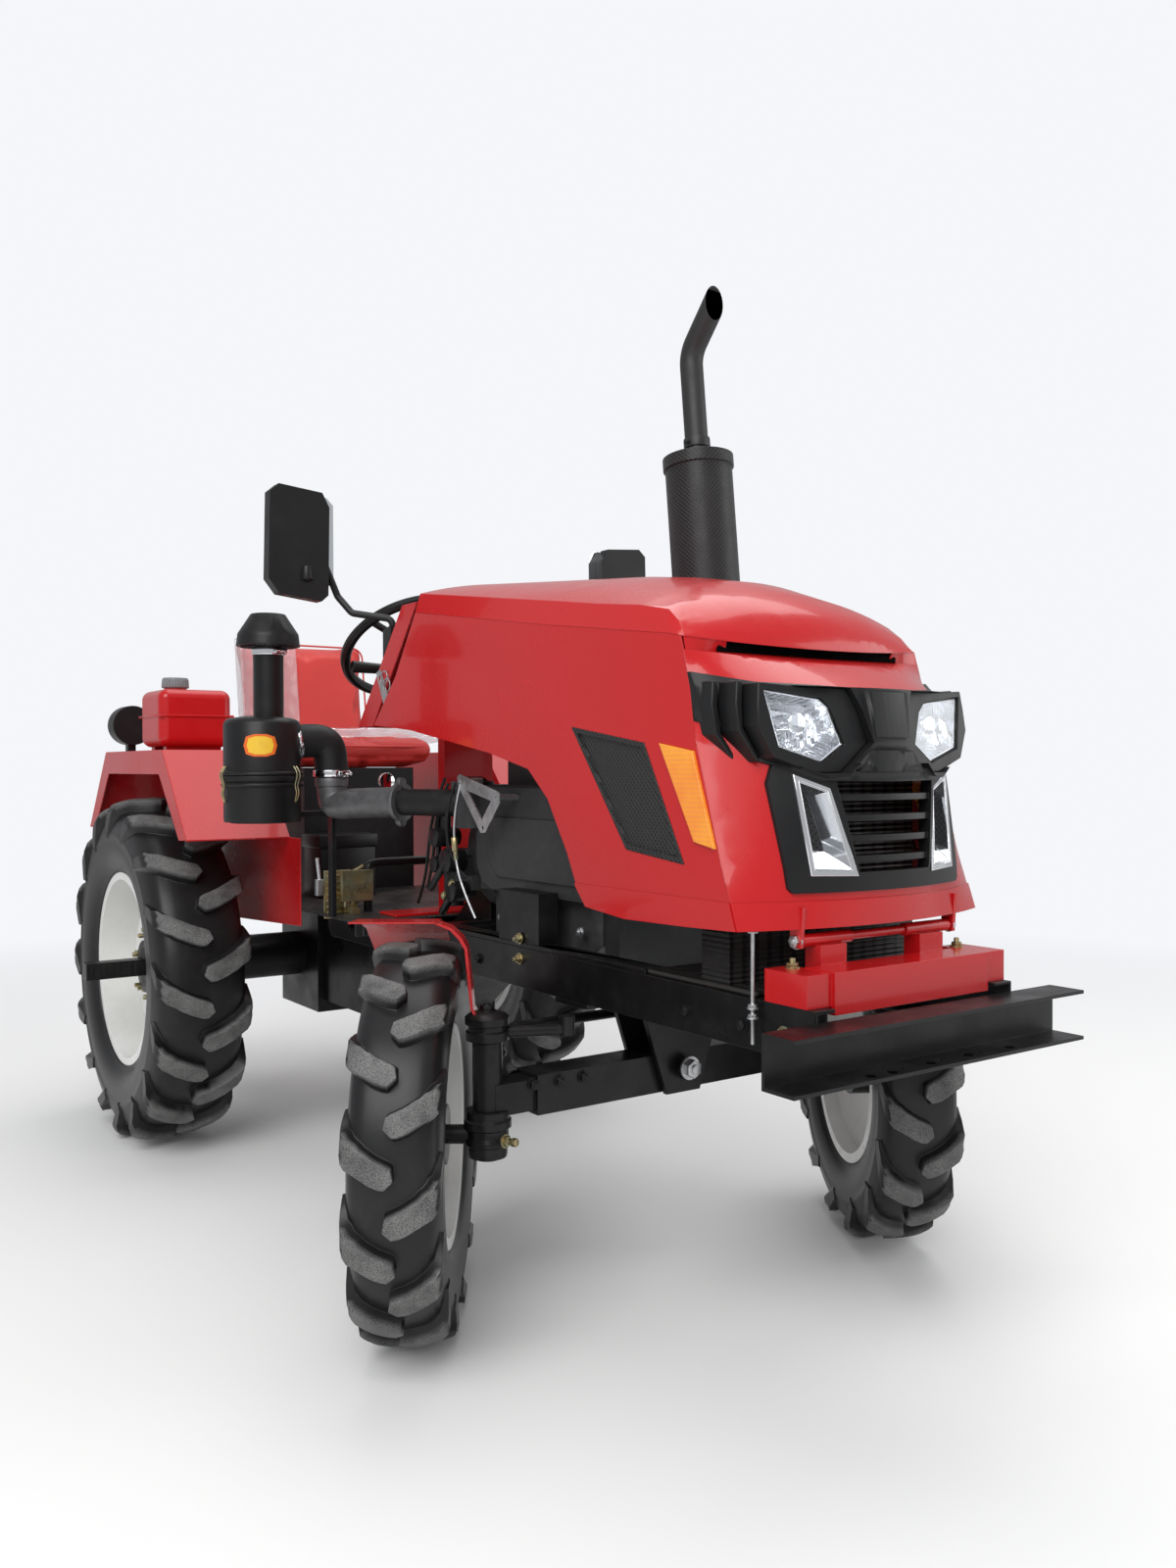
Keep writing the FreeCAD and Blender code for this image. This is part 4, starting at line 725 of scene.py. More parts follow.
def add_bar(bm, half, line, height, pitch, stations=15):
    """One bar on the casing: its top, its sloping sides and a rounded top edge, about the X axis."""
    reach = sum((b - a).length for a, b in zip(line[:-1], line[1:]))
    start, width = -0.10 * half, 0.215 * pitch

    def middle(u):
        """Place of the bar's middle line: distance across the casing and distance round it."""
        return Vector((start + (reach - start) * u,
                       pitch * (-0.30 + 0.52 * u + 0.14 * u * u - 0.10 * math.sin(math.pi * u))))

    def lay(place, up):
        """Lays a flat place on the casing at a height above it."""
        point, out = along_line(line, place.x)
        point = point + out * up
        angle = place.y / line[0].y
        return Vector((min(point.x, half * 0.998), point.y * math.sin(angle), point.y * math.cos(angle)))

    old = set(bm.verts)
    bmesh.ops.create_grid(bm, x_segments=stations, y_segments=4, size=0.5)
    top = [v for v in bm.verts if v not in old]
    spots = {}
    for v in top:
        u = v.co.x + 0.5
        ahead = middle(u + 0.01) - middle(u - 0.01)
        side = Vector((-ahead.y, ahead.x)).normalized()
        spots[v] = (u, middle(u), side * v.co.y * width * bar_width(u))
    grown = bmesh.ops.extrude_face_region(bm, geom=list({f for v in top for f in v.link_faces}),
                                          use_keep_orig=True)["geom"]
    foot = [v for v in grown if isinstance(v, bmesh.types.BMVert)]
    by_place = {(round(v.co.x, 4), round(v.co.y, 4)): spots[v] for v in top}
    for v in foot:
        u, centre, off = by_place[(round(v.co.x, 4), round(v.co.y, 4))]
        spread = 1.0 + 0.006 / max(0.004, width * bar_width(u) * 0.5)
        v.co = lay(centre + off * spread, -0.004)
    for v in top:
        u, centre, off = spots[v]
        v.co = lay(centre + off, height * (1.0 if u < 0.7 else 1.0 - 0.6 * ((u - 0.7) / 0.3) ** 1.6))
    kept = set(top)
    near = {e for v in top for e in v.link_edges}
    rim = [e for e in near if all(v in kept for v in e.verts)
           and any(any(w not in kept for w in f.verts) for f in e.link_faces)]
    bmesh.ops.bevel(bm, geom=rim, offset=0.0035, segments=2, affect="EDGES", profile=0.5, material=-1,
                    clamp_overlap=True)


def add_tyre(radius, width, rim_radius, lugs):
    """Whole tyre about the X axis, its middle at the origin."""
    half = width / 2
    casing = radius * (1 - LUG_SHARE)
    wall = casing - rim_radius
    bm = bmesh.new()
    section = [(x * half, rim_radius + share * wall) for x, share in CASING]
    section += [(-x, r) for x, r in section[-2::-1]]
    chain = [bm.verts.new((x, 0, r)) for x, r in section]
    edges = [bm.edges.new(pair) for pair in zip(chain, chain[1:] + chain[:1])]
    bmesh.ops.spin(bm, geom=chain + edges, cent=(0, 0, 0), axis=(1, 0, 0), angle=2 * math.pi, steps=108,
                   use_merge=True, use_duplicate=False)
    bmesh.ops.remove_doubles(bm, verts=bm.verts, dist=0.00001)
    bmesh.ops.recalc_face_normals(bm, faces=bm.faces)
    one = bmesh.new()
    add_bar(one, half, casing_line(half, rim_radius, wall), radius * LUG_SHARE - BAR_SINK,
            2 * math.pi * radius / lugs)
    bmesh.ops.recalc_face_normals(one, faces=one.faces)
    bar = bpy.data.meshes.new("one_bar")
    one.to_mesh(bar)
    one.free()
    for k in range(lugs):
        for side in (1, -1):
            old = set(bm.verts)
            bm.from_mesh(bar)
            new = [v for v in bm.verts if v not in old]
            if side < 0:
                bmesh.ops.scale(bm, vec=(-1, 1, 1), verts=new)
                bmesh.ops.reverse_faces(bm, faces=list({f for v in new for f in v.link_faces}))
            step = 2 * math.pi / lugs * (k + (0.5 if side < 0 else 0.0))
            bmesh.ops.rotate(bm, verts=new, cent=(0, 0, 0), matrix=Matrix.Rotation(step, 3, "X"))
    bpy.data.meshes.remove(bar)
    scuffed = bm.verts.layers.float.new("scuff")
    line = casing_line(half, rim_radius, wall)
    height = radius * LUG_SHARE
    for v in bm.verts:
        x, r = abs(v.co.x), math.hypot(v.co.y, v.co.z)
        under = line[0].y
        for a, b in zip(line[:-1], line[1:]):
            if a.x <= x <= b.x:
                under = a.y + (b.y - a.y) * (x - a.x) / (b.x - a.x)
        share = (r - under) / height
        on_bar = r > casing * 0.97 and x < 0.99 * half
        v[scuffed] = max(0.0, min(1.0, (share - 0.78) / 0.12)) if on_bar else 0.0
    return bm


print("tyre shape ready")

# %% [markdown]
# ## Wheels in their places
# Each wheel is modelled at the origin with its outer side toward +X. The right-hand one is its
# mirror image. The front wheels are parked steered, so they are turned about the kingpin after
# they are moved out to their track.

# %% Wheel places
FRONT = {"radius": 0.306, "width": 0.138, "rim": 0.166, "lugs": 14}
REAR = {"radius": 0.4055, "width": 0.210, "rim": 0.222, "lugs": 16}
KINGPIN_X, KINGPIN_TO_WHEEL = 0.358, 0.109
STEER = {"left": math.radians(-29), "right": math.radians(-35)}
REAR_X, WHEELBASE = 0.478, 1.374


def to_wheel(bm, name, verts=None):
    """Moves a shape modelled at the origin to the wheel it belongs to, such as front_left."""
    end, side = name.split("_")
    verts = list(verts or bm.verts)
    s = 1 if side == "left" else -1
    if s < 0:
        bmesh.ops.scale(bm, vec=(-1, 1, 1), verts=verts)
        bmesh.ops.reverse_faces(bm, faces=list({f for v in verts for f in v.link_faces}))
    if end == "rear":
        bmesh.ops.translate(bm, vec=at_axle(s * REAR_X, WHEELBASE, REAR["radius"]), verts=verts)
    else:
        bmesh.ops.translate(bm, vec=(s * KINGPIN_TO_WHEEL, 0, FRONT["radius"]), verts=verts)
        bmesh.ops.rotate(bm, verts=verts, cent=(0, 0, 0), matrix=Matrix.Rotation(STEER[side], 3, "Z"))
        bmesh.ops.translate(bm, vec=at_axle(s * KINGPIN_X, 0, 0), verts=verts)
    return bm


WHEELS = {"front_left": FRONT, "front_right": FRONT, "rear_left": REAR, "rear_right": REAR}
for wheel, size in WHEELS.items():
    end, side = wheel.split("_")
    bm = to_wheel(add_tyre(size["radius"], size["width"], size["rim"], size["lugs"]), wheel)
    tyre = finish_piece(bm, "tyre_" + wheel, "tyre_rubber", "wheel_" + wheel, angle=38)
    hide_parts(f"{end}_tyre_{side}")
    print(tyre.name, len(tyre.data.polygons), "faces")

# %% [markdown]
# ## Nose
# The headlamps stand on a flat slanted face of their own, so their outer ends come out of the round
# nose like pods. The mask's sheet gets an opening for each pod. A pod is its outline and the lens
# outline laid on that face, filled between and pulled back, with two stepped ridges beside it. Behind
# the clear lens sits a fluted bright bowl with a bulb shield.

# %% Headlamps
def tree_of(name):
    """Ray-cast tree of one CAD node at rest."""
    mesh = nodes[name].data
    return BVHTree.FromPolygons([v.co.copy() for v in mesh.vertices],
                                [list(p.vertices) for p in mesh.polygons])


def front_hit(tree, x, z):
    """First point of a node met from the front at a place of the front view."""
    return tree.ray_cast(Vector((x, -2.0, z)), Vector((0, 1, 0)))[0]


def merged_copy(name):
    """Bmesh of a CAD node with its loose triangles joined."""
    bm = bmesh.new()
    bm.from_mesh(nodes[name].data)
    bmesh.ops.remove_doubles(bm, verts=bm.verts, dist=0.00002)
    return bm


def lamp_face(x, z, back=0.0):
    """Point on the slanted face of the lamps, pushed back by a distance."""
    return Vector((x, -0.6027 + 0.1384 * abs(x) + 0.1243 * z + back - MIDDLE, z))


def outline_plate(bm, outer, holes, place, deep, s=1):
    """Fills an outline with holes on a face given by place(x, z), and pulls it back."""
    edges = []
    made = []
    for loop in (outer, *holes):
        ring = [bm.verts.new(place(s * x / 1000, z / 1000)) for x, z in loop]
        edges += [bm.edges.new(pair) for pair in zip(ring, ring[1:] + ring[:1])]
        made += ring
    filled = bmesh.ops.triangle_fill(bm, use_beauty=True, use_dissolve=False, edges=edges)["geom"]
    faces = [g for g in filled if isinstance(g, bmesh.types.BMFace)]
    bmesh.ops.dissolve_limit(bm, angle_limit=0.02, verts=[], edges=list({e for f in faces for e in f.edges}))
    faces = list({f for v in made for f in v.link_faces})
    grown = bmesh.ops.extrude_face_region(bm, geom=faces, use_keep_orig=True)["geom"]
    back = [v for v in grown if isinstance(v, bmesh.types.BMVert)]
    bmesh.ops.translate(bm, vec=deep if isinstance(deep, Vector) else (0, deep, 0), verts=back)
    return made


LENS = ((199, 985), (106, 974), (91, 961), (72, 911), (110, 886), (182, 908))
POD = ((206, 994), (139, 990), (62, 989), (46, 958), (33, 914), (84, 872), (127, 872), (190, 893), (212, 935),
       (210, 965))
RIDGES = ((((220, 997), (210, 996), (214, 965), (216, 934), (194, 892), (197, 886), (223, 929), (225, 965)),
           0.018), (((235, 998), (226, 998), (230, 965), (228, 927), (205, 888), (209, 884), (237, 925),
                     (240, 965)), 0.048))


def shrunk(loop, share, shift=(0, 0)):
    """Outline scaled about its middle."""
    mx = sum(x for x, _ in loop) / len(loop)
    mz = sum(z for _, z in loop) / len(loop)
    return [(mx + (x - mx) * share + shift[0], mz + (z - mz) * share + shift[1]) for x, z in loop]


def cut_with(bm, cutters, name):
    """Subtracts solid bmeshes from a bmesh and returns the result."""
    objects = []
    for k, one in enumerate([bm] + cutters):
        bmesh.ops.recalc_face_normals(one, faces=one.faces)
        objects.append(new_object(f"{name}_step{k}", one))
    for cutter in objects[1:]:
        cut = objects[0].modifiers.new("cut", "BOOLEAN")
        cut.operation = "DIFFERENCE"
        cut.solver = "EXACT"
        cut.object = cutter
    result = bpy.data.meshes.new_from_object(objects[0].evaluated_get(bpy.context.evaluated_depsgraph_get()))
    for one in objects:
        bpy.data.objects.remove(one)
    out = bmesh.new()
    out.from_mesh(result)
    bpy.data.meshes.remove(result)
    return out


cutters = []
for s in (1, -1):
    one = bmesh.new()
    outline_plate(one, POD, (), lambda x, z: Vector((x, -1.4, z)), 0.9, s)
    cutters.append(one)
mask_bm = cut_with(merged_copy("lamp_mask"), cutters, "mask")
mask = finish_piece(mask_bm, "mask_sheet", "trim_black", "hood", angle=25)
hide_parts("lamp_mask")

for side, s in SIDES:
    bm = bmesh.new()
    outline_plate(bm, POD, (LENS,), lambda x, z: lamp_face(x, z, -0.007), 0.075, s)
    for loop, back in RIDGES:
        outline_plate(bm, loop, (), lambda x, z, b=back: lamp_face(x, z, b), 0.04, s)
    finish_piece(bm, "lamp_pod_" + side, "trim_black", "hood", angle=25, bevel=0.0018)
    bm = bmesh.new()
    outline_plate(bm, shrunk(LENS, 0.965), (), lambda x, z: lamp_face(x, z, -0.004), 0.004, s)
    lens = finish_piece(bm, "lamp_lens_" + side, "lens_clear", "hood", angle=25, bevel=0.0012)
    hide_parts("headlamp_" + side)
    bm = bmesh.new()
    outline_plate(bm, shrunk(LENS, 0.975), (shrunk(LENS, 0.925),),
                  lambda x, z: lamp_face(x, z, 0.0005), 0.002, s)
    finish_piece(bm, "lamp_rim_" + side, "trim_chrome", "hood", angle=25, bevel=0.0005)
    bm = bmesh.new()
    rings = []
    for share, back, shift in ((0.985, 0.002, (0, 0)), (0.93, 0.012, (0, 0)), (0.80, 0.034, (-3, 1)),
                               (0.45, 0.052, (-6, 2))):
        loop = shrunk(LENS, share, shift)
        rings.append([bm.verts.new(lamp_face(s * x / 1000, z / 1000, back)) for x, z in loop])
    for ring in rings:
        for pair in zip(ring, ring[1:] + ring[:1]):
            bm.edges.new(pair)
    for a, b in zip(rings[:-1], rings[1:]):
        pair = {e for ring in (a, b) for v in ring for e in v.link_edges if e.verts[0] in ring
                and e.verts[1] in ring}
        bmesh.ops.bridge_loops(bm, edges=list(pair))
    bm.faces.new(rings[-1])
    bmesh.ops.subdivide_edges(bm, edges=bm.edges, cuts=2, use_grid_fill=True)
    bmesh.ops.recalc_face_normals(bm, faces=bm.faces)
    bmesh.ops.solidify(bm, geom=bm.faces, thickness=0.0012)
    finish_piece(bm, "lamp_bowl_" + side, "reflector", "hood")
    bm = bmesh.new()
    centre = lamp_face(s * 0.134, 0.940, 0.0)
    add_drum(bm, centre + Vector((0, 0.050, 0)), centre + Vector((0, 0.014, 0)), 0.013, 0.010, sides=20,
             bevel=0.002)
    add_drum(bm, centre + Vector((0, 0.014, 0)), centre + Vector((0, 0.010, 0)), 0.017, 0.014, sides=20,
             bevel=0.001)
    finish_piece(bm, "lamp_bulb_" + side, "trim_chrome", "hood")
print("headlamps and mask")

# %% [markdown]
# ## Closing the slot's ends, and the bright tubs of the grille
# The black slot under the hood's lip ends before the corners, where the red sheet runs on up to the
# lip. The strip there is drawn between points found on the CAD nose and lip. Each bright tub is a
# frame whose walls lean in to a black pressed net.

# %% Slot ends and grille tubs
nose_tree, lip_tree = tree_of("hood_front"), tree_of("hood_top")


def first_z(tree, x, start, step):
    """Lowest or highest front point of a node at a place across, found in small steps."""
    z = start
    for _ in range(120):
        hit = front_hit(tree, x, z)
        if hit and hit.y < -0.80:
            return hit
        z += step
    return None


for side, s in SIDES:
    bm = bmesh.new()
    low_row, high_row = [], []
    for x in (0.168, 0.172, 0.185, 0.20, 0.215, 0.228, 0.238):
        a = first_z(nose_tree, s * x, 1.056, -0.0008)
        b = first_z(lip_tree, s * x, 1.030, 0.0008)
        if a and b:
            low_row.append(bm.verts.new(a + Vector((0, 0.0006, -0.002))))
            top = b + Vector((0, 0.0006, 0.002)) if x > 0.169 else a + Vector((0, 0.001, 0.001))
            high_row.append(bm.verts.new(top))
    for row in (low_row, high_row):
        for pair in zip(row[:-1], row[1:]):
            bm.edges.new(pair)
    bmesh.ops.bridge_loops(bm, edges=bm.edges)
    bmesh.ops.recalc_face_normals(bm, faces=bm.faces)
    if sum(f.normal.y for f in bm.faces) > 0:
        bmesh.ops.reverse_faces(bm, faces=bm.faces)
    bmesh.ops.solidify(bm, geom=bm.faces, thickness=0.003)
    finish_piece(bm, "slot_end_" + side, "body_red", "hood", angle=40)

TUB = ((156, 871), (103, 852), (74, 732), (144, 734))
TUB_IN = ((149, 862), (108, 847), (83, 740), (138, 742))
for side, s in SIDES:
    trim_tree = tree_of("grille_trim_" + side)
    found = [front_hit(trim_tree, s * x, z)
             for x, z in ((0.1510, 0.8665), (0.0795, 0.7365), (0.1400, 0.7380))]
    normal = (found[1] - found[0]).cross(found[2] - found[0]).normalized()

    def tub_face(x, z, back=0.0, base=found[0], n=normal):
        """Point on the trim's front plane."""
        return Vector((x, base.y - ((x - base.x) * n.x + (z - base.z) * n.z) / n.y + back, z))

    bm = bmesh.new()
    outline_plate(bm, TUB, (TUB_IN,), tub_face, 0.022, s)
    loops = []
    for loop, back in ((TUB_IN, 0.001), (shrunk(TUB_IN, 0.72, (5, 8)), 0.032)):
        ring = [bm.verts.new(tub_face(s * x / 1000, z / 1000, back)) for x, z in loop]
        loops.append([bm.edges.new(pair) for pair in zip(ring, ring[1:] + ring[:1])])
    walls = bmesh.ops.bridge_loops(bm, edges=loops[0] + loops[1])["faces"]
    bmesh.ops.recalc_face_normals(bm, faces=walls)
    bmesh.ops.solidify(bm, geom=walls, thickness=0.0016)
    tub = finish_piece(bm, "grille_tub_" + side, "trim_chrome", "hood", angle=25, bevel=0.0011)
    bm = bmesh.new()
    outline_plate(bm, shrunk(TUB_IN, 0.74, (5, 8)), (), lambda x, z: tub_face(x, z, 0.030), 0.003, s)
    finish_piece(bm, "grille_net_" + side, "grille_net", "hood", angle=25)
    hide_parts("grille_trim_" + side)
print("slot ends and grille tubs")

# %% [markdown]
# ## Padded seat under its film
# Cushion and back start as rounded blocks a little smaller than their places. Cloth pressure blows
# each one up between its corners, with the movement capped, and a sewn seam bead runs round it
# afterwards. The clear film over the seat follows further down.

# %% Seat
CLOTH_FRAMES = 20
BACK_FOOT_Z, BACK_RUN, BACK_RISE = 0.871, 50, 354       # the back leans 50 mm over 354 mm of height


def inflate(low, high, corner, name, cap):
    """Rounded block blown up by cloth pressure, no point of it moving further than cap."""
    bm = bmesh.new()
    add_block(bm, low, high, bevel=corner, segments=4)
    bmesh.ops.recalc_face_normals(bm, faces=bm.faces)
    pad = new_object(name, bm)
    remesh = pad.modifiers.new("even", "REMESH")
    remesh.mode = "VOXEL"
    remesh.voxel_size = 0.006
    graph = bpy.context.evaluated_depsgraph_get()
    even = bpy.data.meshes.new_from_object(pad.evaluated_get(graph))
    pad.modifiers.clear()
    pad.data = even
    start = [v.co.copy() for v in even.vertices]
    moved = start
    cloth = pad.modifiers.new("cloth", "CLOTH")
    cloth.settings.use_pressure = True
    cloth.settings.uniform_pressure_force = 4.0
    cloth.settings.effector_weights.gravity = 0.0
    cloth.settings.quality = 5
    cloth.point_cache.frame_start = 1
    cloth.point_cache.frame_end = CLOTH_FRAMES
    for step in range(1, CLOTH_FRAMES + 1):
        bpy.context.scene.frame_set(step)
    blown = pad.evaluated_get(bpy.context.evaluated_depsgraph_get()).to_mesh()
    moved = [v.co.copy() for v in blown.vertices]
    pad.modifiers.clear()
    bpy.context.scene.frame_set(1)
    out = bmesh.new()
    out.from_mesh(even)
    out.verts.ensure_lookup_table()
    for v, a, b in zip(out.verts, start, moved):
        step = b - a
        if step.length > cap:
            step *= cap / step.length
        v.co = a + step
    bmesh.ops.smooth_vert(out, verts=out.verts, factor=0.5, use_axis_x=True, use_axis_y=True, use_axis_z=True)
    bpy.data.objects.remove(pad)
    return out


def fit_between(verts, low, high):
    """Stretches a pad so that its box is exactly the place it has."""
    low, high = Vector(low), Vector(high)
    found_low = Vector([min(v.co[k] for v in verts) for k in range(3)])
    found_high = Vector([max(v.co[k] for v in verts) for k in range(3)])
    for v in verts:
        share = [(v.co[k] - found_low[k]) / (found_high[k] - found_low[k]) for k in range(3)]
        v.co = Vector([low[k] + share[k] * (high[k] - low[k]) for k in range(3)])


def back_lean(z):
    """How far the back has leaned rearward at a height."""
    return (z - BACK_FOOT_Z) * BACK_RUN / BACK_RISE


CUSHION = (at_axle(-0.190, 1.210, 0.8815), at_axle(0.190, 1.556, 0.9700))
BACK = (at_axle(-0.180, 1.5645, 0.874), at_axle(0.180, 1.6385, 1.224))
for name, (low, high), corner, cap in (("seat_cushion", CUSHION, 0.030, 0.022),
                                       ("seat_back", BACK, 0.026, 0.018)):
    inset = Vector((0.012, 0.012, 0.010)) if name == "seat_cushion" else Vector((0.012, 0.010, 0.012))
    bm = inflate(low + inset, high - inset, corner, name + "_pad", cap)
    fit_between(bm.verts, low, high)
    if name == "seat_cushion":
        for v in bm.verts:
            if v.co.z < 0.905:
                v.co.z = 0.8815 + (v.co.z - 0.8815) * 0.75
            bolster = max(0.0, 1 - abs(abs(v.co.x) - 0.150) / 0.045)
            hollow = math.cos(min(1.0, abs(v.co.x) / 0.14) * math.pi / 2)
            if v.co.z > 0.925:
                v.co.z -= 0.006 * hollow * min(1.0, (v.co.z - 0.925) / 0.03) * (1 - bolster)
    else:
        for v in bm.verts:
            v.co.y += back_lean(v.co.z)
    pad = finish_piece(bm, name + "_pad", "seat_vinyl", angle=180)
    smooth = pad.modifiers.new("smooth", "SUBSURF")
    smooth.levels = smooth.render_levels = 1
    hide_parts(name)
    print(pad.name, len(pad.data.polygons), "faces")


def rounded_loop(low, high, corner, z, segments=6):
    """Points of a rounded rectangle at a height."""
    points = []
    for k, (sx, sy) in enumerate(((1, 1), (-1, 1), (-1, -1), (1, -1))):
        cx = (high.x - corner) if sx > 0 else (low.x + corner)
        cy = (high.y - corner) if sy > 0 else (low.y + corner)
        for j in range(segments + 1):
            a = math.pi / 2 * (k + j / segments)
            points.append(Vector((cx + corner * math.cos(a), cy + corner * math.sin(a), z)))
    return points


def bead(name, points, radius, finish, body="chassis"):
    """Closed round cord along points."""
    bm = bmesh.new()
    count = len(points)
    rings = []
    for k, p in enumerate(points):
        ahead = (points[(k + 1) % count] - points[k - 1]).normalized()
        side = ahead.cross(Vector((0, 0, 1)) if abs(ahead.z) < 0.9 else Vector((1, 0, 0))).normalized()
        up = side.cross(ahead)
        rings.append([bm.verts.new(p + side * radius * math.cos(a) + up * radius * math.sin(a))
                      for a in (2 * math.pi * j / 8 for j in range(8))])
    for k in range(count):
        a, b = rings[k], rings[(k + 1) % count]
        for j in range(8):
            bm.faces.new((a[j], a[(j + 1) % 8], b[(j + 1) % 8], b[j]))
    return finish_piece(bm, name, finish, body, angle=180)


low, high = CUSHION
bead("cushion_seam",
     rounded_loop(low + Vector((0.0035, 0.0035, 0)), high - Vector((0.0035, 0.0035, 0)), 0.034, 0.934),
     0.0028, "seat_vinyl", "chassis")
low, high = BACK
loop = [Vector((p.x, 0, BACK_FOOT_Z + 0.177 + p.y)) for p in
        rounded_loop(Vector((-0.1765, -0.1725, 0)), Vector((0.1765, 0.1725, 0)), 0.030, 0)]
for p in loop:
    p.y = at_axle(0, 1.5750, 0).y + back_lean(p.z)
bead("back_seam", loop, 0.0026, "seat_vinyl")
print("seat seams")

# %% [markdown]
# ## Air intake
# The can of the air filter gets its double band, wire latches, a blank orange plate and a clamp under
# the cap. A fat rubber elbow leaves its shoulder and turns down into a cast elbow, whose flange
# carries the hose to the engine. These replace the plain pipe of the frame.

# %% Air filter and intake
CAN = at_axle(-0.444, 0.745, 0)


def mm(*places):
    """Points given in millimetres from the front axle."""
    return [at_axle(x / 1000, y / 1000, z / 1000) for x, y, z in places]


def wrap(centre, radius, turn):
    """Place function that lays a flat outline on an upright drum facing a turn."""
    return lambda x, z: centre + Vector((radius * math.cos(turn + x / radius),
                                         radius * math.sin(turn + x / radius), z))


def ring_of_holes(x, z, radius, sides=12):
    """Round hole outline in millimetres."""
    return [(x + radius * math.cos(2 * math.pi * k / sides), z + radius * math.sin(2 * math.pi * k / sides))
            for k in range(sides)]


def clamp(name, points, radius, width=0.013):
    """Worm-drive hose clamp: a thin steel band with its screw, round the line between two points."""
    a, b = points
    middle, way = (a + b) / 2, (b - a).normalized()
    bm = bmesh.new()
    add_turned(bm, middle - way * width / 2, middle + way * width / 2,
               ((0, radius), (0, radius + 0.0016), (0.12, radius + 0.0022), (0.5, radius + 0.0016),
                (0.88, radius + 0.0022), (1, radius + 0.0016), (1, radius)), sides=48)
    out = way.cross(Vector((0.3, -0.9, 0.2))).normalized().cross(way).normalized()
    across = way.cross(out).normalized()
    box = middle + out * (radius + 0.005)
    add_drum(bm, box - across * 0.012, box + across * 0.010, 0.0052, sides=12, bevel=0.001)
    add_bolt(bm, box + across * 0.010, across, 0.0058, washer=False)
    finish_piece(bm, name, "trim_chrome")


for k, z in enumerate((0.8475, 0.8695)):
    bm = bmesh.new()
    add_turned(bm, CAN + Vector((0, 0, z - 0.005)), CAN + Vector((0, 0, z + 0.005)),
               ((0, 0.0745), (0.1, 0.0785), (0.35, 0.0805), (0.65, 0.0805), (0.9, 0.0785), (1, 0.0745)),
               sides=72)
    finish_piece(bm, f"filter_band_{k}", "trim_black", angle=50)
bm = bmesh.new()
add_turned(bm, CAN + Vector((0, 0, 0.771)), CAN + Vector((0, 0, 0.985)),
           ((0, 0), (0, 0.062), (0.012, 0.0715), (0.035, 0.0757), (0.37, 0.0757), (0.42, 0.0757),
            (0.92, 0.0757), (0.955, 0.072), (0.978, 0.062), (0.99, 0.045), (1.0, 0.034), (1.0, 0.0)),
           sides=96)
finish_piece(bm, "filter_skin", "trim_black", angle=40)
for k, turn in enumerate((-0.98, 1.1, 3.2)):
    out = Vector((math.cos(turn), math.sin(turn), 0))
    across = Vector((-out.y, out.x, 0))
    path = [(0.0775, 0.004, 0.884), (0.0850, 0.005, 0.876), (0.0865, 0.005, 0.862), (0.0795, 0.004, 0.846),
            (0.0850, 0.004, 0.832), (0.0800, 0.003, 0.817), (0.0780, 0.000, 0.812), (0.0800, -0.003, 0.817),
            (0.0850, -0.004, 0.832), (0.0795, -0.004, 0.846), (0.0865, -0.005, 0.862),
            (0.0850, -0.005, 0.876), (0.0775, -0.004, 0.884)]
    bent_bar(f"filter_latch_{k}", [CAN + out * r + across * w + Vector((0, 0, z)) for r, w, z in path],
             0.0014, "zinc_yellow", sides=4)
label = [(-33, 0), (-28, 17), (-12, 22), (12, 22), (28, 17), (33, 0), (28, -17), (12, -22), (-12, -22),
         (-28, -17)]
LABEL_TURN = -1.97
LABEL_MIDDLE = CAN + Vector((0, 0, 0.925))
CAN_RADIUS = 0.0757
for name, share, proud, finish in (("filter_label", 1.0, 0.0008, "label_orange"),
                                   ("filter_label_inner", 0.80, 0.0013, "label_yellow")):
    bm = bmesh.new()
    bmesh.ops.create_circle(bm, cap_ends=False, segments=len(label), radius=1.0)
    for v, (x, z) in zip(bm.verts, label):
        v.co = (x * share / 1000, 0, z * share / 1000)
    bmesh.ops.triangle_fill(bm, use_beauty=True, edges=bm.edges)
    bmesh.ops.subdivide_edges(bm, edges=bm.edges, cuts=5, use_grid_fill=True)
    lay = wrap(LABEL_MIDDLE, CAN_RADIUS + proud, LABEL_TURN)
    for v in bm.verts:
        v.co = lay(v.co.x, v.co.z)
    bmesh.ops.recalc_face_normals(bm, faces=bm.faces)
    if sum(f.normal.dot(f.calc_center_median() - LABEL_MIDDLE) for f in bm.faces) < 0:
        bmesh.ops.reverse_faces(bm, faces=bm.faces)
    bmesh.ops.solidify(bm, geom=bm.faces, thickness=0.0008)
    finish_piece(bm, name, finish, angle=40)

STACK = Vector((CAN.x + 0.014, CAN.y, 0))
clamp("cap_clamp", [STACK + Vector((0, 0, 1.106)), STACK + Vector((0, 0, 1.122))], 0.0305)
bm = bmesh.new()
for k in range(28):
    a = 2 * math.pi * k / 28
    out = Vector((math.cos(a), math.sin(a), 0))
    made = add_block(bm, (0.034, -0.0011, 1.123), (0.055, 0.0011, 1.139))
    bmesh.ops.rotate(bm, verts=made, cent=(0, 0, 0), matrix=Matrix.Rotation(a, 3, "Z"))
    bmesh.ops.translate(bm, vec=STACK, verts=made)
finish_piece(bm, "cap_fins", "trim_black")

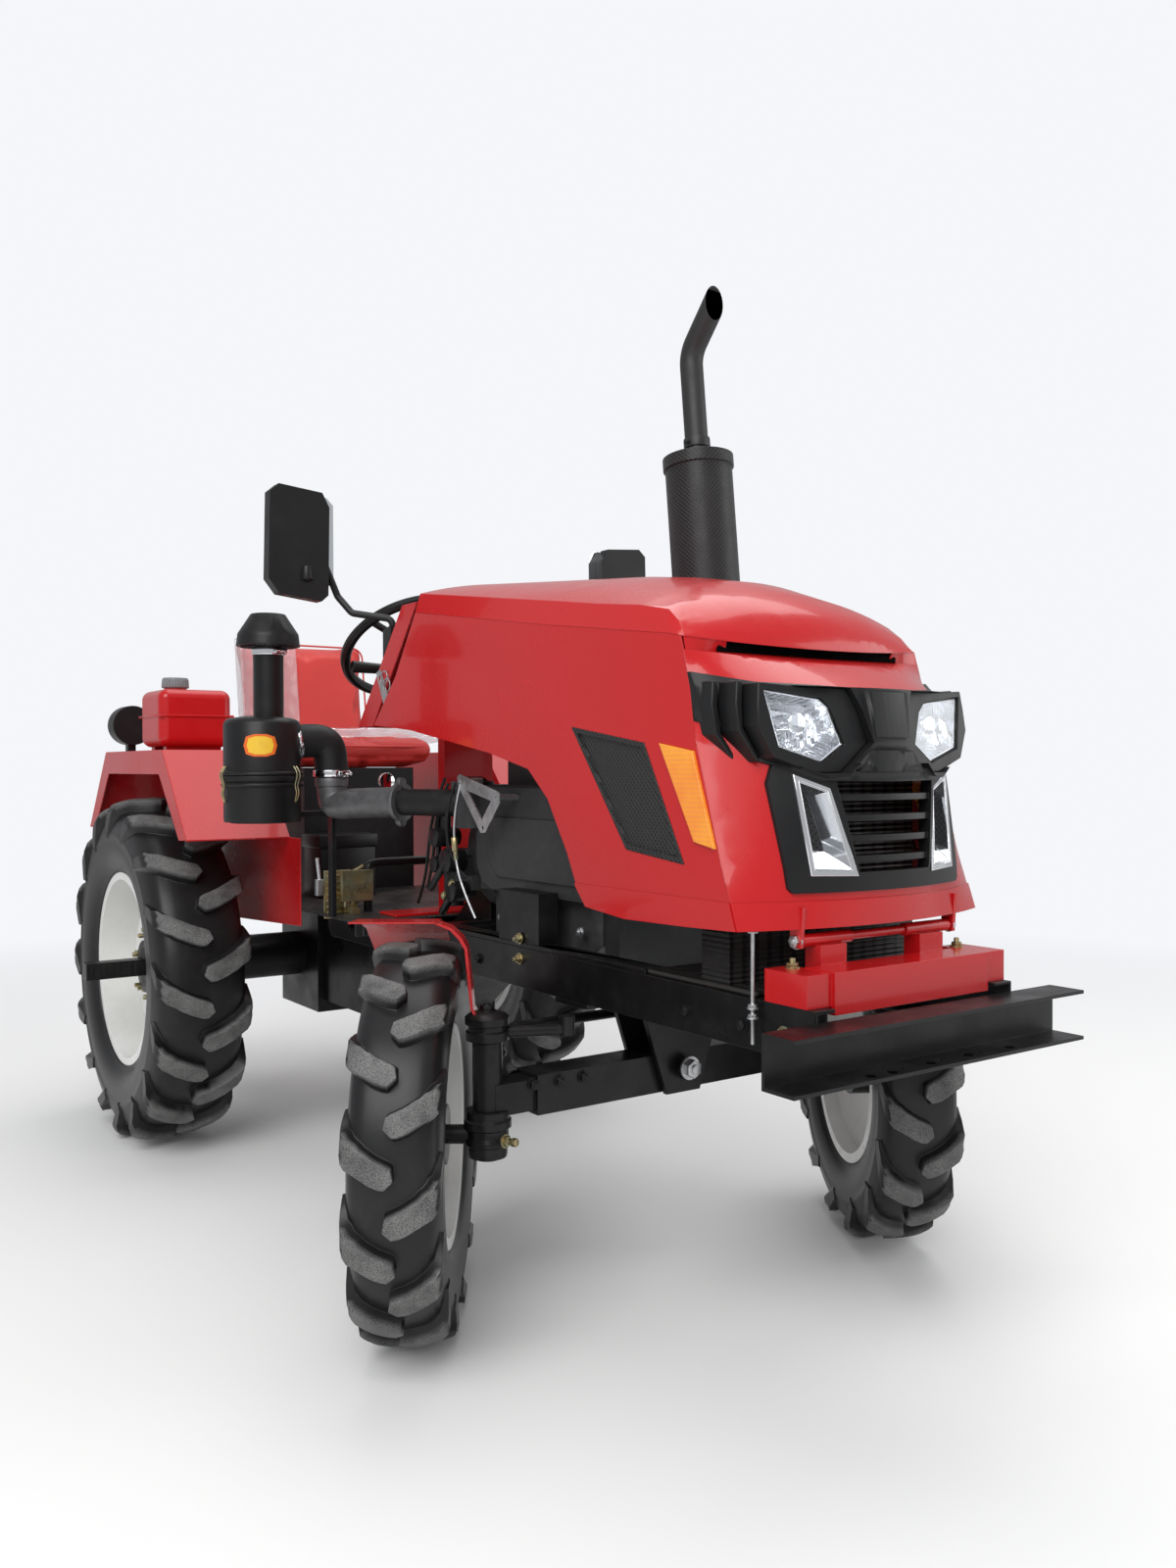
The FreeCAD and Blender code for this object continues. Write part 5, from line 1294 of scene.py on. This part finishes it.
elbow_line = mm((-402, 742, 930), (-352, 738, 938), (-312, 733, 934), (-302, 731, 905), (-302, 730, 862))
bent_bar("intake_elbow", elbow_line, 0.0345, "hose_rubber", sides=14)
cast_line = mm((-302, 730, 872), (-302, 730, 818), (-297, 718, 804), (-280, 681, 808), (-226, 566, 812))
cast = bent_bar("intake_cast", cast_line, 0.0305, "cast_alloy", sides=14)
hose_line = mm((-229, 572, 812), (-195, 497, 812), (-163, 430, 812), (-130, 424, 812))
bent_bar("intake_hose", hose_line, 0.0265, "hose_rubber", sides=12)
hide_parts("intake_pipe")
clamp("elbow_clamp", mm((-302, 730, 862), (-302, 730, 876)), 0.0352)
clamp("shoulder_clamp", mm((-383, 740, 932), (-371, 739, 934)), 0.0352)
way = (cast_line[-1] - cast_line[-2]).normalized()
bm = bmesh.new()
add_drum(bm, cast_line[-1] - way * 0.004, cast_line[-1] + way * 0.007, 0.039, sides=40, bevel=0.0015)
add_drum(bm, cast_line[0] - Vector((0, 0, 0.030)), cast_line[0] - Vector((0, 0, 0.012)), 0.034, sides=40,
         bevel=0.002)
side = way.cross(Vector((0, 0, 1))).normalized()
for up in (1, -1):
    ear = cast_line[-1] + Vector((0, 0, 0.038 * up))
    add_drum(bm, ear - way * 0.004, ear + way * 0.007, 0.011, sides=20, bevel=0.0012)
    add_bolt(bm, ear - way * 0.004, -way, 0.0062)
finish_piece(bm, "intake_flange", "cast_alloy")
print("intake done")

# %% [markdown]
# ## Around the engine
# A bright triangular lifting bracket stands out from the black engine, with the fuel line, its brass
# fittings, the linkage rods and the wiring beside it. These small bright parts are what makes the
# open side read as machinery.

# %% Engine details
def facing_right(x):
    """Place function for outlines given as (length from the axle, height) on a plane across X."""
    return lambda y, z: at_axle(x, y, z)


bm = bmesh.new()
tri_outer = [(388, 862), (384, 846), (300, 760), (284, 762), (233, 816), (234, 832), (244, 838), (378, 868)]
tri_inner = [(352, 838), (296, 784), (262, 820)]
rings = [tri_outer, tri_inner, ring_of_holes(374, 855, 4), ring_of_holes(293, 770, 4),
         ring_of_holes(245, 826, 4)]
outline_plate(bm, rings[0], rings[1:], facing_right(-0.196), Vector((0.004, 0, 0)))
finish_piece(bm, "lifting_bracket", "zinc_grey", angle=28, bevel=0.0009)
bm = bmesh.new()
for y, z in ((0.245, 0.826), (0.374, 0.855)):
    add_drum(bm, at_axle(-0.192, y, z), at_axle(-0.150, y, z), 0.006, sides=16)
for y, z, size in ((0.150, 0.835, 0.007), (0.060, 0.835, 0.007), (-0.020, 0.835, 0.007), (0.20, 0.60, 0.007),
                   (0.32, 0.60, 0.007), (0.06, 0.60, 0.007)):
    add_bolt(bm, at_axle(-0.1385, y, z), (-1, 0, 0), size)
finish_piece(bm, "engine_bolts", "zinc_grey")
line_a = mm((-196, 374, 850), (-200, 392, 800), (-198, 398, 742), (-196, 392, 700), (-196, 376, 660),
            (-190, 330, 600))
bent_bar("fuel_line", line_a, 0.0026, "zinc_grey", sides=4, smooth=4)
line_b = mm((-190, 404, 852), (-206, 415, 800), (-204, 418, 730), (-190, 404, 690), (-180, 380, 672))
bent_bar("wire_run", line_b, 0.0021, "hose_rubber", sides=4, smooth=4)
bm = bmesh.new()
for a, b, r in (((-198, 397, 748), (-197, 394, 722), 0.0062), ((-197, 394, 722), (-196, 392, 706), 0.0045)):
    pa, pb = mm(a, b)
    add_drum(bm, pa, pb, r, sides=8, bevel=0.0008)
for y, z in ((0.452, 0.700), (0.440, 0.655), (0.470, 0.630)):
    add_bolt(bm, at_axle(-0.178, y, z), (-1, 0, 0), 0.0075)
finish_piece(bm, "brass_fittings", "zinc_yellow")
bm = bmesh.new()
for y0, z0, r, x0, x1 in ((0.470, 0.745, 0.019, -0.205, -0.150), (0.452, 0.700, 0.024, -0.190, -0.150),
                          (0.500, 0.690, 0.016, -0.190, -0.150), (0.440, 0.640, 0.020, -0.185, -0.150)):
    add_drum(bm, at_axle(x0, y0, z0), at_axle(x1, y0, z0), r, sides=28, bevel=0.003)
for a, b, r in (((-176, 470, 790), (-176, 470, 740), 0.011), ((-176, 500, 820), (-176, 500, 690), 0.0055),
                ((-184, 452, 700), (-184, 520, 640), 0.007), ((-176, 440, 640), (-176, 486, 596), 0.008)):
    pa, pb = mm(a, b)
    add_drum(bm, pa, pb, r, sides=16, bevel=0.001)
finish_piece(bm, "linkage_cluster", "chassis_black")
for k, path in enumerate((mm((-170, 470, 850), (-190, 480, 800), (-186, 500, 740), (-178, 520, 690),
                             (-170, 560, 640)),
                          mm((-150, 520, 860), (-170, 530, 800), (-180, 540, 730), (-160, 580, 660),
                             (-150, 640, 600)),
                          mm((-176, 455, 830), (-196, 440, 790), (-192, 430, 740), (-182, 450, 700)))):
    bent_bar(f"loom_{k}", path, 0.0032, "hose_rubber", sides=4, smooth=4)
print("engine side done")

# %% [markdown]
# ## Running gear
# Hub nuts and valves on the wheels, the hubs and square shafts painted black, hub flanges with their
# studs and notched shafts at the rear, cross bolts and the pivot bolt on the front axle, and a collar,
# a kingpin head and a grease bolt on each knuckle.

# %% Wheels and axle details
def wheel_point(name, x, angle, radius):
    """Place on a wheel: x outward from its middle, then an angle and a radius."""
    bm = bmesh.new()
    v = bm.verts.new((x, radius * math.sin(angle), radius * math.cos(angle)))
    to_wheel(bm, name)
    place = v.co.copy()
    bm.free()
    return place


for name, size in WHEELS.items():
    end, side = name.split("_")
    rim = nodes[f"{end}_rim_{side}"]
    centre = wheel_point(name, 0.0, 0.0, 0.0)
    out = (wheel_point(name, 0.1, 0.0, 0.0) - centre).normalized()
    rim.data.materials.append(finishes["chassis_black"])
    limit = 0.066 if end == "rear" else 0.055
    for face in rim.data.polygons:
        off = face.center - centre
        face.material_index = 1 if (off - out * off.dot(out)).length < limit else 0
    rim_tree = tree_of(rim.name)
    bm = bmesh.new()
    count, radius, bolt = (6, 0.088, 0.0105) if end == "rear" else (5, 0.062, 0.0075)
    for k in range(count):
        a = 2 * math.pi * (k + 0.25) / count
        start = wheel_point(name, 0.3, a, radius)
        hit = rim_tree.ray_cast(start, -out)[0]
        if hit:
            add_bolt(bm, hit, out, bolt)
            add_drum(bm, hit, hit + out * bolt * 2.0, bolt * 0.5, sides=14, bevel=0.0008)
    finish_piece(bm, "hub_nuts_" + name, "zinc_yellow", "wheel_" + name)
    bm = bmesh.new()
    start = wheel_point(name, 0.3, 0.6, size["rim"] * 0.90)
    hit = rim_tree.ray_cast(start, -out)[0]
    if hit:
        add_drum(bm, hit, hit + out * 0.028, 0.0045, sides=16, bevel=0.0008)
        add_drum(bm, hit + out * 0.026, hit + out * 0.036, 0.0052, sides=16, bevel=0.001)
        finish_piece(bm, "valve_" + name, "hose_rubber", "wheel_" + name)
    else:
        bm.free()
    if end == "rear":
        bm = bmesh.new()
        add_drum(bm, centre + out * 0.004, centre + out * 0.030, 0.056, 0.050, sides=48, bevel=0.003)
        for k in range(6):
            a = 2 * math.pi * (k + 0.25) / 6
            spot = wheel_point(name, 0.0, a, 0.074)
            add_drum(bm, spot + out * 0.004, spot + out * 0.012, 0.017, sides=24, bevel=0.0015)
        finish_piece(bm, "hub_flange_" + side, "chassis_black", "wheel_" + name)
        bm = bmesh.new()
        for k in range(6):
            a = 2 * math.pi * (k + 0.25) / 6
            spot = wheel_point(name, 0.012, a, 0.074)
            add_bolt(bm, spot, out, 0.0105)
            add_drum(bm, spot, spot + out * 0.026, 0.0055, sides=14, bevel=0.0008)
        finish_piece(bm, "hub_studs_" + side, "zinc_yellow", "wheel_" + name)
        bm = bmesh.new()
        s = 1 if side == "left" else -1
        for k in range(8):
            x = s * (0.530 + 0.0145 * k)
            add_block(bm, at_axle(x - 0.0032, WHEELBASE - 0.0205, REAR["radius"] - 0.017),
                      at_axle(x + 0.0032, WHEELBASE - 0.0175, REAR["radius"] + 0.017))
        finish_piece(bm, "shaft_notches_" + side, "chassis_black", "wheel_" + name, bevel=0.0008)

bm = bmesh.new()
for x in (-0.289, -0.243, -0.197, 0.197, 0.243, 0.289):
    y = -0.025 if abs(x) > 0.28 else -0.032
    add_bolt(bm, at_axle(x, y, 0.379), (0, -1, 0), 0.0088)
    add_bolt(bm, at_axle(x, 0.032, 0.379), (0, 1, 0), 0.0088)
finish_piece(bm, "axle_bolts", "chassis_black")
bm = bmesh.new()
for y, s in ((-0.062, -1), (0.062, 1)):
    add_bolt(bm, at_axle(0, y, 0.372), (0, s, 0), 0.016)
finish_piece(bm, "pivot_bolt", "zinc_grey")

for side, s in SIDES[::-1]:
    turn = Matrix.Rotation(STEER[side], 3, "Z")
    pin = at_axle(s * KINGPIN_X, 0, 0)

    def around_pin(x, y, z):
        """Point given outward, rearward and up from the kingpin, steered with the knuckle."""
        return pin + turn @ Vector((s * x, y, z))

    bm = bmesh.new()
    add_turned(bm, around_pin(0, 0, 0.268), around_pin(0, 0, 0.345),
               ((0, 0), (0, 0.020), (0.06, 0.026), (0.10, 0.031), (0.28, 0.031), (0.32, 0.0355),
                (0.42, 0.0355), (0.46, 0.033), (0.62, 0.033), (0.66, 0.0375), (0.80, 0.0375), (0.84, 0.034),
                (1.0, 0.034), (1.0, 0)), sides=48)
    finish_piece(bm, "knuckle_collar_" + side, "chassis_black", "steer_" + side, angle=40)
    bm = bmesh.new()
    add_turned(bm, around_pin(0, 0, 0.455), around_pin(0, 0, 0.500),
               ((0, 0), (0, 0.034), (0.30, 0.034), (0.34, 0.030), (0.52, 0.030), (0.56, 0.035), (0.80, 0.035),
                (0.9, 0.030), (1, 0.018), (1.0, 0)), sides=48)
    add_bolt(bm, around_pin(0, 0, 0.499), (0, 0, 1), 0.011)
    finish_piece(bm, "kingpin_head_" + side, "chassis_black", "steer_" + side, angle=40)
    bm = bmesh.new()
    base = around_pin(-0.028, -0.018, 0.300)
    aim = (around_pin(-0.06, -0.040, 0.302) - base).normalized()
    add_bolt(bm, base, aim, 0.0088)
    add_drum(bm, base, base + aim * 0.020, 0.0045, sides=16, bevel=0.001)
    add_drum(bm, base + aim * 0.014, base + aim * 0.024, 0.0068, sides=6, bevel=0.001)
    finish_piece(bm, "grease_bolt_" + side, "zinc_yellow", "steer_" + side)

print("running gear done")

# %% [markdown]
# ## Bolts of the frame
# Yellow bolts hold the engine feet and the red beam, two grey ones the rails, and a long threaded rod
# hangs beside the radiator. Discs of painted shade on the front channel's lower flange stand for the shadow
# in its bolt holes.

# %% Frame bolts
bm = bmesh.new()
for at, out, size in (((-168, -482, 612), (0, 0, 1), 8), ((168, -482, 612), (0, 0, 1), 8),
                      ((-200, -500, 530), (-1, 0, 0), 9), ((200, -500, 530), (1, 0, 0), 9),
                      ((-201, 156, 583), (-1, 0, 0), 8), ((-201, 156, 548), (-1, 0, 0), 8),
                      ((201, 156, 548), (1, 0, 0), 8)):
    place = at_axle(*(v / 1000 for v in at))
    add_bolt(bm, place, out, size / 1000)
    add_drum(bm, place, place + Vector(out) * size * 0.0017, size * 0.0005, sides=14, bevel=0.0008)
finish_piece(bm, "frame_bolts", "zinc_yellow")
bm = bmesh.new()
for x in (-0.200, 0.200):
    s = 1 if x > 0 else -1
    for y, z in ((-0.42, 0.530), (-0.30, 0.530), (0.30, 0.530), (0.42, 0.530), (0.74, 0.530), (0.86, 0.530),
                 (1.28, 0.530), (1.42, 0.530)):
        add_bolt(bm, at_axle(x, y, z), (s, 0, 0), 0.0085)
finish_piece(bm, "rail_bolts", "chassis_black")
bm = bmesh.new()
rod_x, rod_y = -0.212, -0.452
add_drum(bm, at_axle(rod_x, rod_y, 0.510), at_axle(rod_x, rod_y, 0.668), 0.0028, sides=12)
for z in (0.545, 0.558, 0.660):
    add_bolt(bm, at_axle(rod_x, rod_y, z), (0, 0, 1), 0.0062)
finish_piece(bm, "long_rod", "zinc_grey")
# Near-black discs of painted shade, where the flange's bolt holes show only shadow.
bm = bmesh.new()
for x, y in ((-141, -596), (-103, -599), (-23, -594), (56, -592), (141, -596)):
    add_drum(bm, at_axle(x / 1000, y / 1000, 0.4858), at_axle(x / 1000, y / 1000, 0.4864), 0.0068, sides=20)
finish_piece(bm, "flange_hole_shade", "painted_shade_black")
print("frame bolts done")

# %% [markdown]
# ## Driver's place
# The tank has a pressed seam and a knurled cap, the column a switch box with two stalks. The right
# pedal gets a ribbed pad on its arm and a hoop beside it. The hood has a latch, and the battery and a
# round bezel stand by the seat.

# %% Tank, column, latch and pedals
bm = bmesh.new()
add_block(bm, at_axle(-0.5035, 1.2465, 1.0005), at_axle(-0.3265, 1.4235, 1.0065), bevel=0.0022)
finish_piece(bm, "tank_seam", "body_red")
bm = bmesh.new()
cap = at_axle(-0.440, 1.335, 0)
add_drum(bm, cap + Vector((0, 0, 1.064)), cap + Vector((0, 0, 1.074)), 0.026, sides=32, bevel=0.001)
add_drum(bm, cap + Vector((0, 0, 1.072)), cap + Vector((0, 0, 1.0965)), 0.031, 0.029, sides=40, bevel=0.002)
for k in range(30):
    a = 2 * math.pi * k / 30
    made = add_drum(bm, (0.0298, 0, 1.074), (0.0290, 0, 1.0925), 0.0022, 0.0018, sides=6)
    bmesh.ops.rotate(bm, verts=made, cent=(0, 0, 0), matrix=Matrix.Rotation(a, 3, "Z"))
    bmesh.ops.translate(bm, vec=cap, verts=made)
finish_piece(bm, "tank_cap", "plastic_grey")

bm = bmesh.new()
add_block(bm, at_axle(-0.060, 0.925, 1.090), at_axle(0.060, 0.985, 1.128), bevel=0.008, segments=3)
add_drum(bm, at_axle(-0.056, 0.955, 1.108), at_axle(-0.150, 0.965, 1.112), 0.011, 0.014, sides=20,
         bevel=0.003)
add_drum(bm, at_axle(0.056, 0.955, 1.108), at_axle(0.135, 0.965, 1.118), 0.006, 0.008, sides=16, bevel=0.002)
finish_piece(bm, "column_switch", "trim_black", angle=35)

bm = bmesh.new()
plate = [(650, 1074), (630, 1080), (588, 1012), (600, 1003), (616, 1008)]
outline_plate(bm, plate, [ring_of_holes(634, 1062, 5), ring_of_holes(602, 1014, 4)], facing_right(-0.2385),
              Vector((0.002, 0, 0)))
finish_piece(bm, "latch_plate", "zinc_grey", "hood", bevel=0.0006)
for k, (y, z) in enumerate(((0.604, 1.062), (0.590, 1.046))):
    ring = [at_axle(-0.2415 - 0.001 * k, y + 0.017 * math.cos(a) * (1.0 if math.cos(a) > 0 else 0.8),
                    z + 0.013 * math.sin(a)) for a in (2 * math.pi * j / 14 for j in range(14))]
    bead(f"latch_loop_{k}", ring, 0.0014, "zinc_grey", "hood")
bm = bmesh.new()
x0, x1, y0, z0, z1 = -0.290, -0.228, 0.800, 0.560, 0.662
add_block(bm, at_axle(x0, y0, z0), at_axle(x1, y0 + 0.004, z1), bevel=0.0015)
for k in range(7):
    z = z0 + 0.012 + k * (z1 - z0 - 0.024) / 6
    add_block(bm, at_axle(x0 + 0.006, y0 - 0.0035, z - 0.0022), at_axle(x1 - 0.006, y0 + 0.001, z + 0.0022),
              bevel=0.0008)
add_drum(bm, at_axle(-0.255, 0.806, 0.640), at_axle(-0.200, 0.800, 0.668), 0.0045, sides=12)
add_drum(bm, at_axle(-0.245, 0.790, 0.636), at_axle(-0.245, 0.790, 0.560), 0.0055, sides=12)
add_block(bm, at_axle(-0.262, 0.770, 0.612), at_axle(-0.214, 0.800, 0.618), bevel=0.0012)
finish_piece(bm, "pedal_pad", "zinc_yellow")
hoop = mm((-196, 785, 556), (-196, 785, 640), (-196, 785, 672), (-176, 785, 676), (-120, 785, 676),
          (-52, 785, 676))
bent_bar("pedal_hoop", hoop, 0.0095, "chassis_black", sides=8)
bm = bmesh.new()
add_drum(bm, at_axle(-0.306, 0.800, 0.690), at_axle(-0.300, 0.800, 0.640), 0.0038, sides=12)
add_block(bm, at_axle(-0.309, 0.793, 0.610), at_axle(-0.293, 0.807, 0.645), bevel=0.002)
finish_piece(bm, "brake_clevis", "zinc_grey")
bm = bmesh.new()
add_block(bm, at_axle(-0.182, 1.075, 0.560), at_axle(-0.040, 1.180, 0.712), bevel=0.006)
add_block(bm, at_axle(-0.186, 1.071, 0.690), at_axle(-0.036, 1.184, 0.722), bevel=0.004)
finish_piece(bm, "battery", "trim_black", angle=35)
bm = bmesh.new()
gauge = at_axle(-0.097, 0.905, 0.850)
add_drum(bm, gauge + Vector((0, -0.002, 0)), gauge + Vector((0, -0.012, 0)), 0.019, sides=32, bevel=0.002)
finish_piece(bm, "round_bezel", "trim_chrome")
print("driver's place done")

# %% [markdown]
# ## The film over the seat
# A clear film still covers the cushion and part of the back. Each sheet is a fine grid laid over its
# pad by a function of its two flat lengths and pushed up into folds by noise, and its area stays close
# to that of the flat sheet.

# %% Film
def film_folds(first, second, third):
    """Broad folds and sharp creases from three places in a noise pattern."""
    fold = noise.noise(Vector(first)) * 0.5 + noise.noise(Vector(second)) * 0.3
    return fold, abs(noise.noise(Vector(third)))


def film_sheet(name, width, length, place, cells):
    """Sheet of film whose flat points are put in place by a function of their two lengths."""
    bm = bmesh.new()
    bmesh.ops.create_grid(bm, x_segments=cells, y_segments=cells, size=0.5)
    for v in bm.verts:
        v.co = place(v.co.x * width, v.co.y * length)
    bmesh.ops.recalc_face_normals(bm, faces=bm.faces)
    area = sum(f.calc_area() for f in bm.faces)
    piece = finish_piece(bm, name, "film", angle=180)
    skin = piece.modifiers.new("thickness", "SOLIDIFY")
    skin.thickness = 0.0003
    print(name, "flat", round(width * length, 4), "as laid", round(area, 4))
    return piece


def over_cushion(u, v):
    """Film over the cushion: flat on top with folds, hanging down a little past all four edges."""
    low, high = CUSHION
    cx, cy = (low.x + high.x) / 2, (low.y + high.y) / 2
    hx, hy = (high.x - low.x) / 2 + 0.004, (high.y - low.y) / 2 + 0.004
    over_x, over_y = max(0.0, abs(u) - hx), max(0.0, abs(v) - hy)
    fold, crease = film_folds((u * 11, v * 9, 1.7), (u * 27, v * 31, 4.2), (u * 19 + v * 8, v * 14, 9.1))
    rise = 0.0045 + 0.005 * fold + 0.006 * crease
    x = cx + math.copysign(min(abs(u), hx) + 0.35 * over_x + 0.004 * fold * (over_x > 0), u)
    y = cy + math.copysign(min(abs(v), hy) + 0.35 * over_y + 0.004 * fold * (over_y > 0), v)
    edge = max(0.0, (abs(u) - hx + 0.03) / 0.03) ** 2 * 0.006 if abs(u) < hx else 0.006
    return Vector((x, y, high.z + 0.003 + max(0.0, rise) - edge - 0.9 * max(over_x, over_y)))


cushion_film = film_sheet("cushion_film", 0.45, 0.40, over_cushion, 90)


def over_back(u, v):
    """Film round the right part of the back and its edge."""
    low, high = BACK
    z = high.z + 0.008 - (v + 0.5 * 0.36)
    fold, crease = film_folds((u * 12, v * 9, 5.7), (u * 30, v * 26, 2.2), (u * 16, v * 21, 3.3))
    front = low.y + back_lean(z) - 0.004 - 0.005 - 0.006 * fold - 0.006 * crease
    x = low.x + u + 0.05
    if u < -0.055:
        return Vector((low.x - 0.006 - 0.005 * crease, front + (-0.055 - u) * 0.95, z))
    return Vector((x, front, z))


back_film = film_sheet("back_film", 0.20, 0.36, over_back, 60)
print("film laid")

# %% [markdown]
# ## Last small parts
# Mirror glass and ball joints, the rings and tail clamp of the muffler, the nuts of the hood's hinge,
# and the tie rod's ball boots and nuts.

# %% Mirrors, muffler and ball joints
MIRROR_FRONT, MIRROR_PANE = 0.0925, 0.0932      # y behind which the shell's rear face lies, and the glass
for side, s in SIDES[::-1]:
    tree = tree_of("mirror_" + side)
    box_low, box_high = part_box("mirror_" + side)
    found = []
    for i in range(60):
        for j in range(60):
            x = box_low.x + (box_high.x - box_low.x) * i / 59
            z = box_high.z - 0.20 * j / 59
            hit = tree.ray_cast(Vector((x, 3.0, z)), Vector((0, -1, 0)))[0]
            if hit and hit.y > MIRROR_FRONT:
                found.append((x, z))
    xs, zs = [x for x, _ in found], [z for _, z in found]
    x0, x1, z0, z1 = min(xs) + 0.007, max(xs) - 0.007, min(zs) + 0.008, max(zs) - 0.008
    c = 0.014
    outline = [(x0 + c, z0), (x1 - c, z0), (x1, z0 + c), (x1, z1 - c), (x1 - c, z1), (x0 + c, z1),
               (x0, z1 - c), (x0, z0 + c)]
    bm = bmesh.new()
    outline_plate(bm, [(x * 1000, z * 1000) for x, z in outline], (),
                  lambda x, z: Vector((x, MIRROR_PANE, z)), Vector((0, 0.0008, 0)))
    finish_piece(bm, "mirror_pane_" + side, "mirror_glass")
    joint = Vector(((x0 + x1) / 2, 0.078, z0 - 0.004))
    bm = bmesh.new()
    bmesh.ops.create_uvsphere(bm, u_segments=24, v_segments=14, radius=0.010,
                              matrix=Matrix.Translation(joint + Vector((0, -0.014, 0.018))))
    add_drum(bm, joint + Vector((0, -0.012, 0.012)), joint + Vector((0, -0.012, 0.040)), 0.013, 0.010,
             sides=24, bevel=0.002)
    finish_piece(bm, "mirror_ball_" + side, "trim_black", angle=40)

low_end, high_end = at_axle(0.325, 0.263, 1.130), at_axle(0.325, 0.302, 1.518)
lean = (high_end - low_end).normalized()
length = (high_end - low_end).length
bm = bmesh.new()
for share, r, w in ((0.02, 0.0712, 0.008), (0.965, 0.0712, 0.010), (0.985, 0.0700, 0.004)):
    centre = low_end + lean * length * share
    add_turned(bm, centre - lean * w / 2, centre + lean * w / 2,
               ((0, r - 0.004), (0.15, r), (0.85, r), (1, r - 0.004)), sides=64)
tip = high_end + lean * 0.030
add_turned(bm, tip - lean * 0.010, tip + lean * 0.010,
           ((0, 0.0225), (0, 0.0268), (0.2, 0.0275), (0.8, 0.0275), (1, 0.0268), (1, 0.0225)), sides=40)
add_bolt(bm, tip + Vector((-0.030, -0.006, 0)), (-1, 0, 0), 0.006, washer=False)
finish_piece(bm, "muffler_rings", "exhaust_black", angle=35)

bm = bmesh.new()
for s in (-1, 1):
    add_bolt(bm, at_axle(s * 0.155, -0.477, 0.646), (s, 0, 0), 0.009)
finish_piece(bm, "hinge_nuts", "zinc_grey", "hood")

ARM = 0.120             # steering arm from the kingpin to the rod's eye
for side, s in SIDES[::-1]:
    turn = Matrix.Rotation(STEER[side], 3, "Z")
    eye = at_axle(s * KINGPIN_X, 0, 0) + turn @ Vector((0, ARM, 0))
    bm = bmesh.new()
    add_turned(bm, eye + Vector((0, 0, 0.398)), eye + Vector((0, 0, 0.432)),
               ((0, 0), (0, 0.015), (0.12, 0.0215), (0.3, 0.0225), (0.5, 0.019), (0.62, 0.0205),
                (0.78, 0.016), (0.92, 0.0165), (1, 0.012), (1, 0)), sides=32)
    finish_piece(bm, "ball_boot_" + side, "hose_rubber", "tie", angle=50)
    bm = bmesh.new()
    add_bolt(bm, eye + Vector((0, 0, 0.463)), (0, 0, 1), 0.0095)
    add_drum(bm, eye + Vector((0, 0, 0.468)), eye + Vector((0, 0, 0.478)), 0.0045, sides=14, bevel=0.0008)
    finish_piece(bm, "ball_nut_" + side, "zinc_yellow", "tie")
print("last small parts done")

# %% [markdown]
# ## Floor
# A plain pale floor catches the shadow, and fades into the white backdrop for the camera.

# %% Floor
floor_bm = bmesh.new()
bmesh.ops.create_grid(floor_bm, x_segments=1, y_segments=1, size=30.0)
studio_floor = new_object("studio_floor", floor_bm)
pale = Finish("pale_floor", (0.86, 0.86, 0.85), 0.8, edge=0.0)
pale.set(Specular_IOR_Level=0.2)
pale.rough(pale.noise(3.0, 3.0), 0.75, 0.9)
far = pale.add("ShaderNodeVectorMath", operation="LENGTH")
pale.link(pale.place, far.inputs[0])
fade = pale.between(far.outputs["Value"], 1.7, 4.6)
seen_by_camera = pale.add("ShaderNodeLightPath").outputs["Is Camera Ray"]
glow = pale.add("ShaderNodeEmission")
glow.inputs["Color"].default_value = SKY_COLOUR
glow.inputs["Strength"].default_value = SKY_SEEN
blend_out = pale.add("ShaderNodeMixShader")
pale.link(pale.sum("MULTIPLY", fade, seen_by_camera), blend_out.inputs["Fac"])
pale.link(pale.shader.outputs["BSDF"], blend_out.inputs[1])
pale.link(glow.outputs["Emission"], blend_out.inputs[2])
pale.link(blend_out.outputs["Shader"], pale.tree.nodes["Material Output"].inputs["Surface"])
studio_floor.data.materials.append(pale.material)
studio_floor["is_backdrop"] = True

low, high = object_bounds()
print("visual box", [round(v, 4) for v in (*low, *high)])
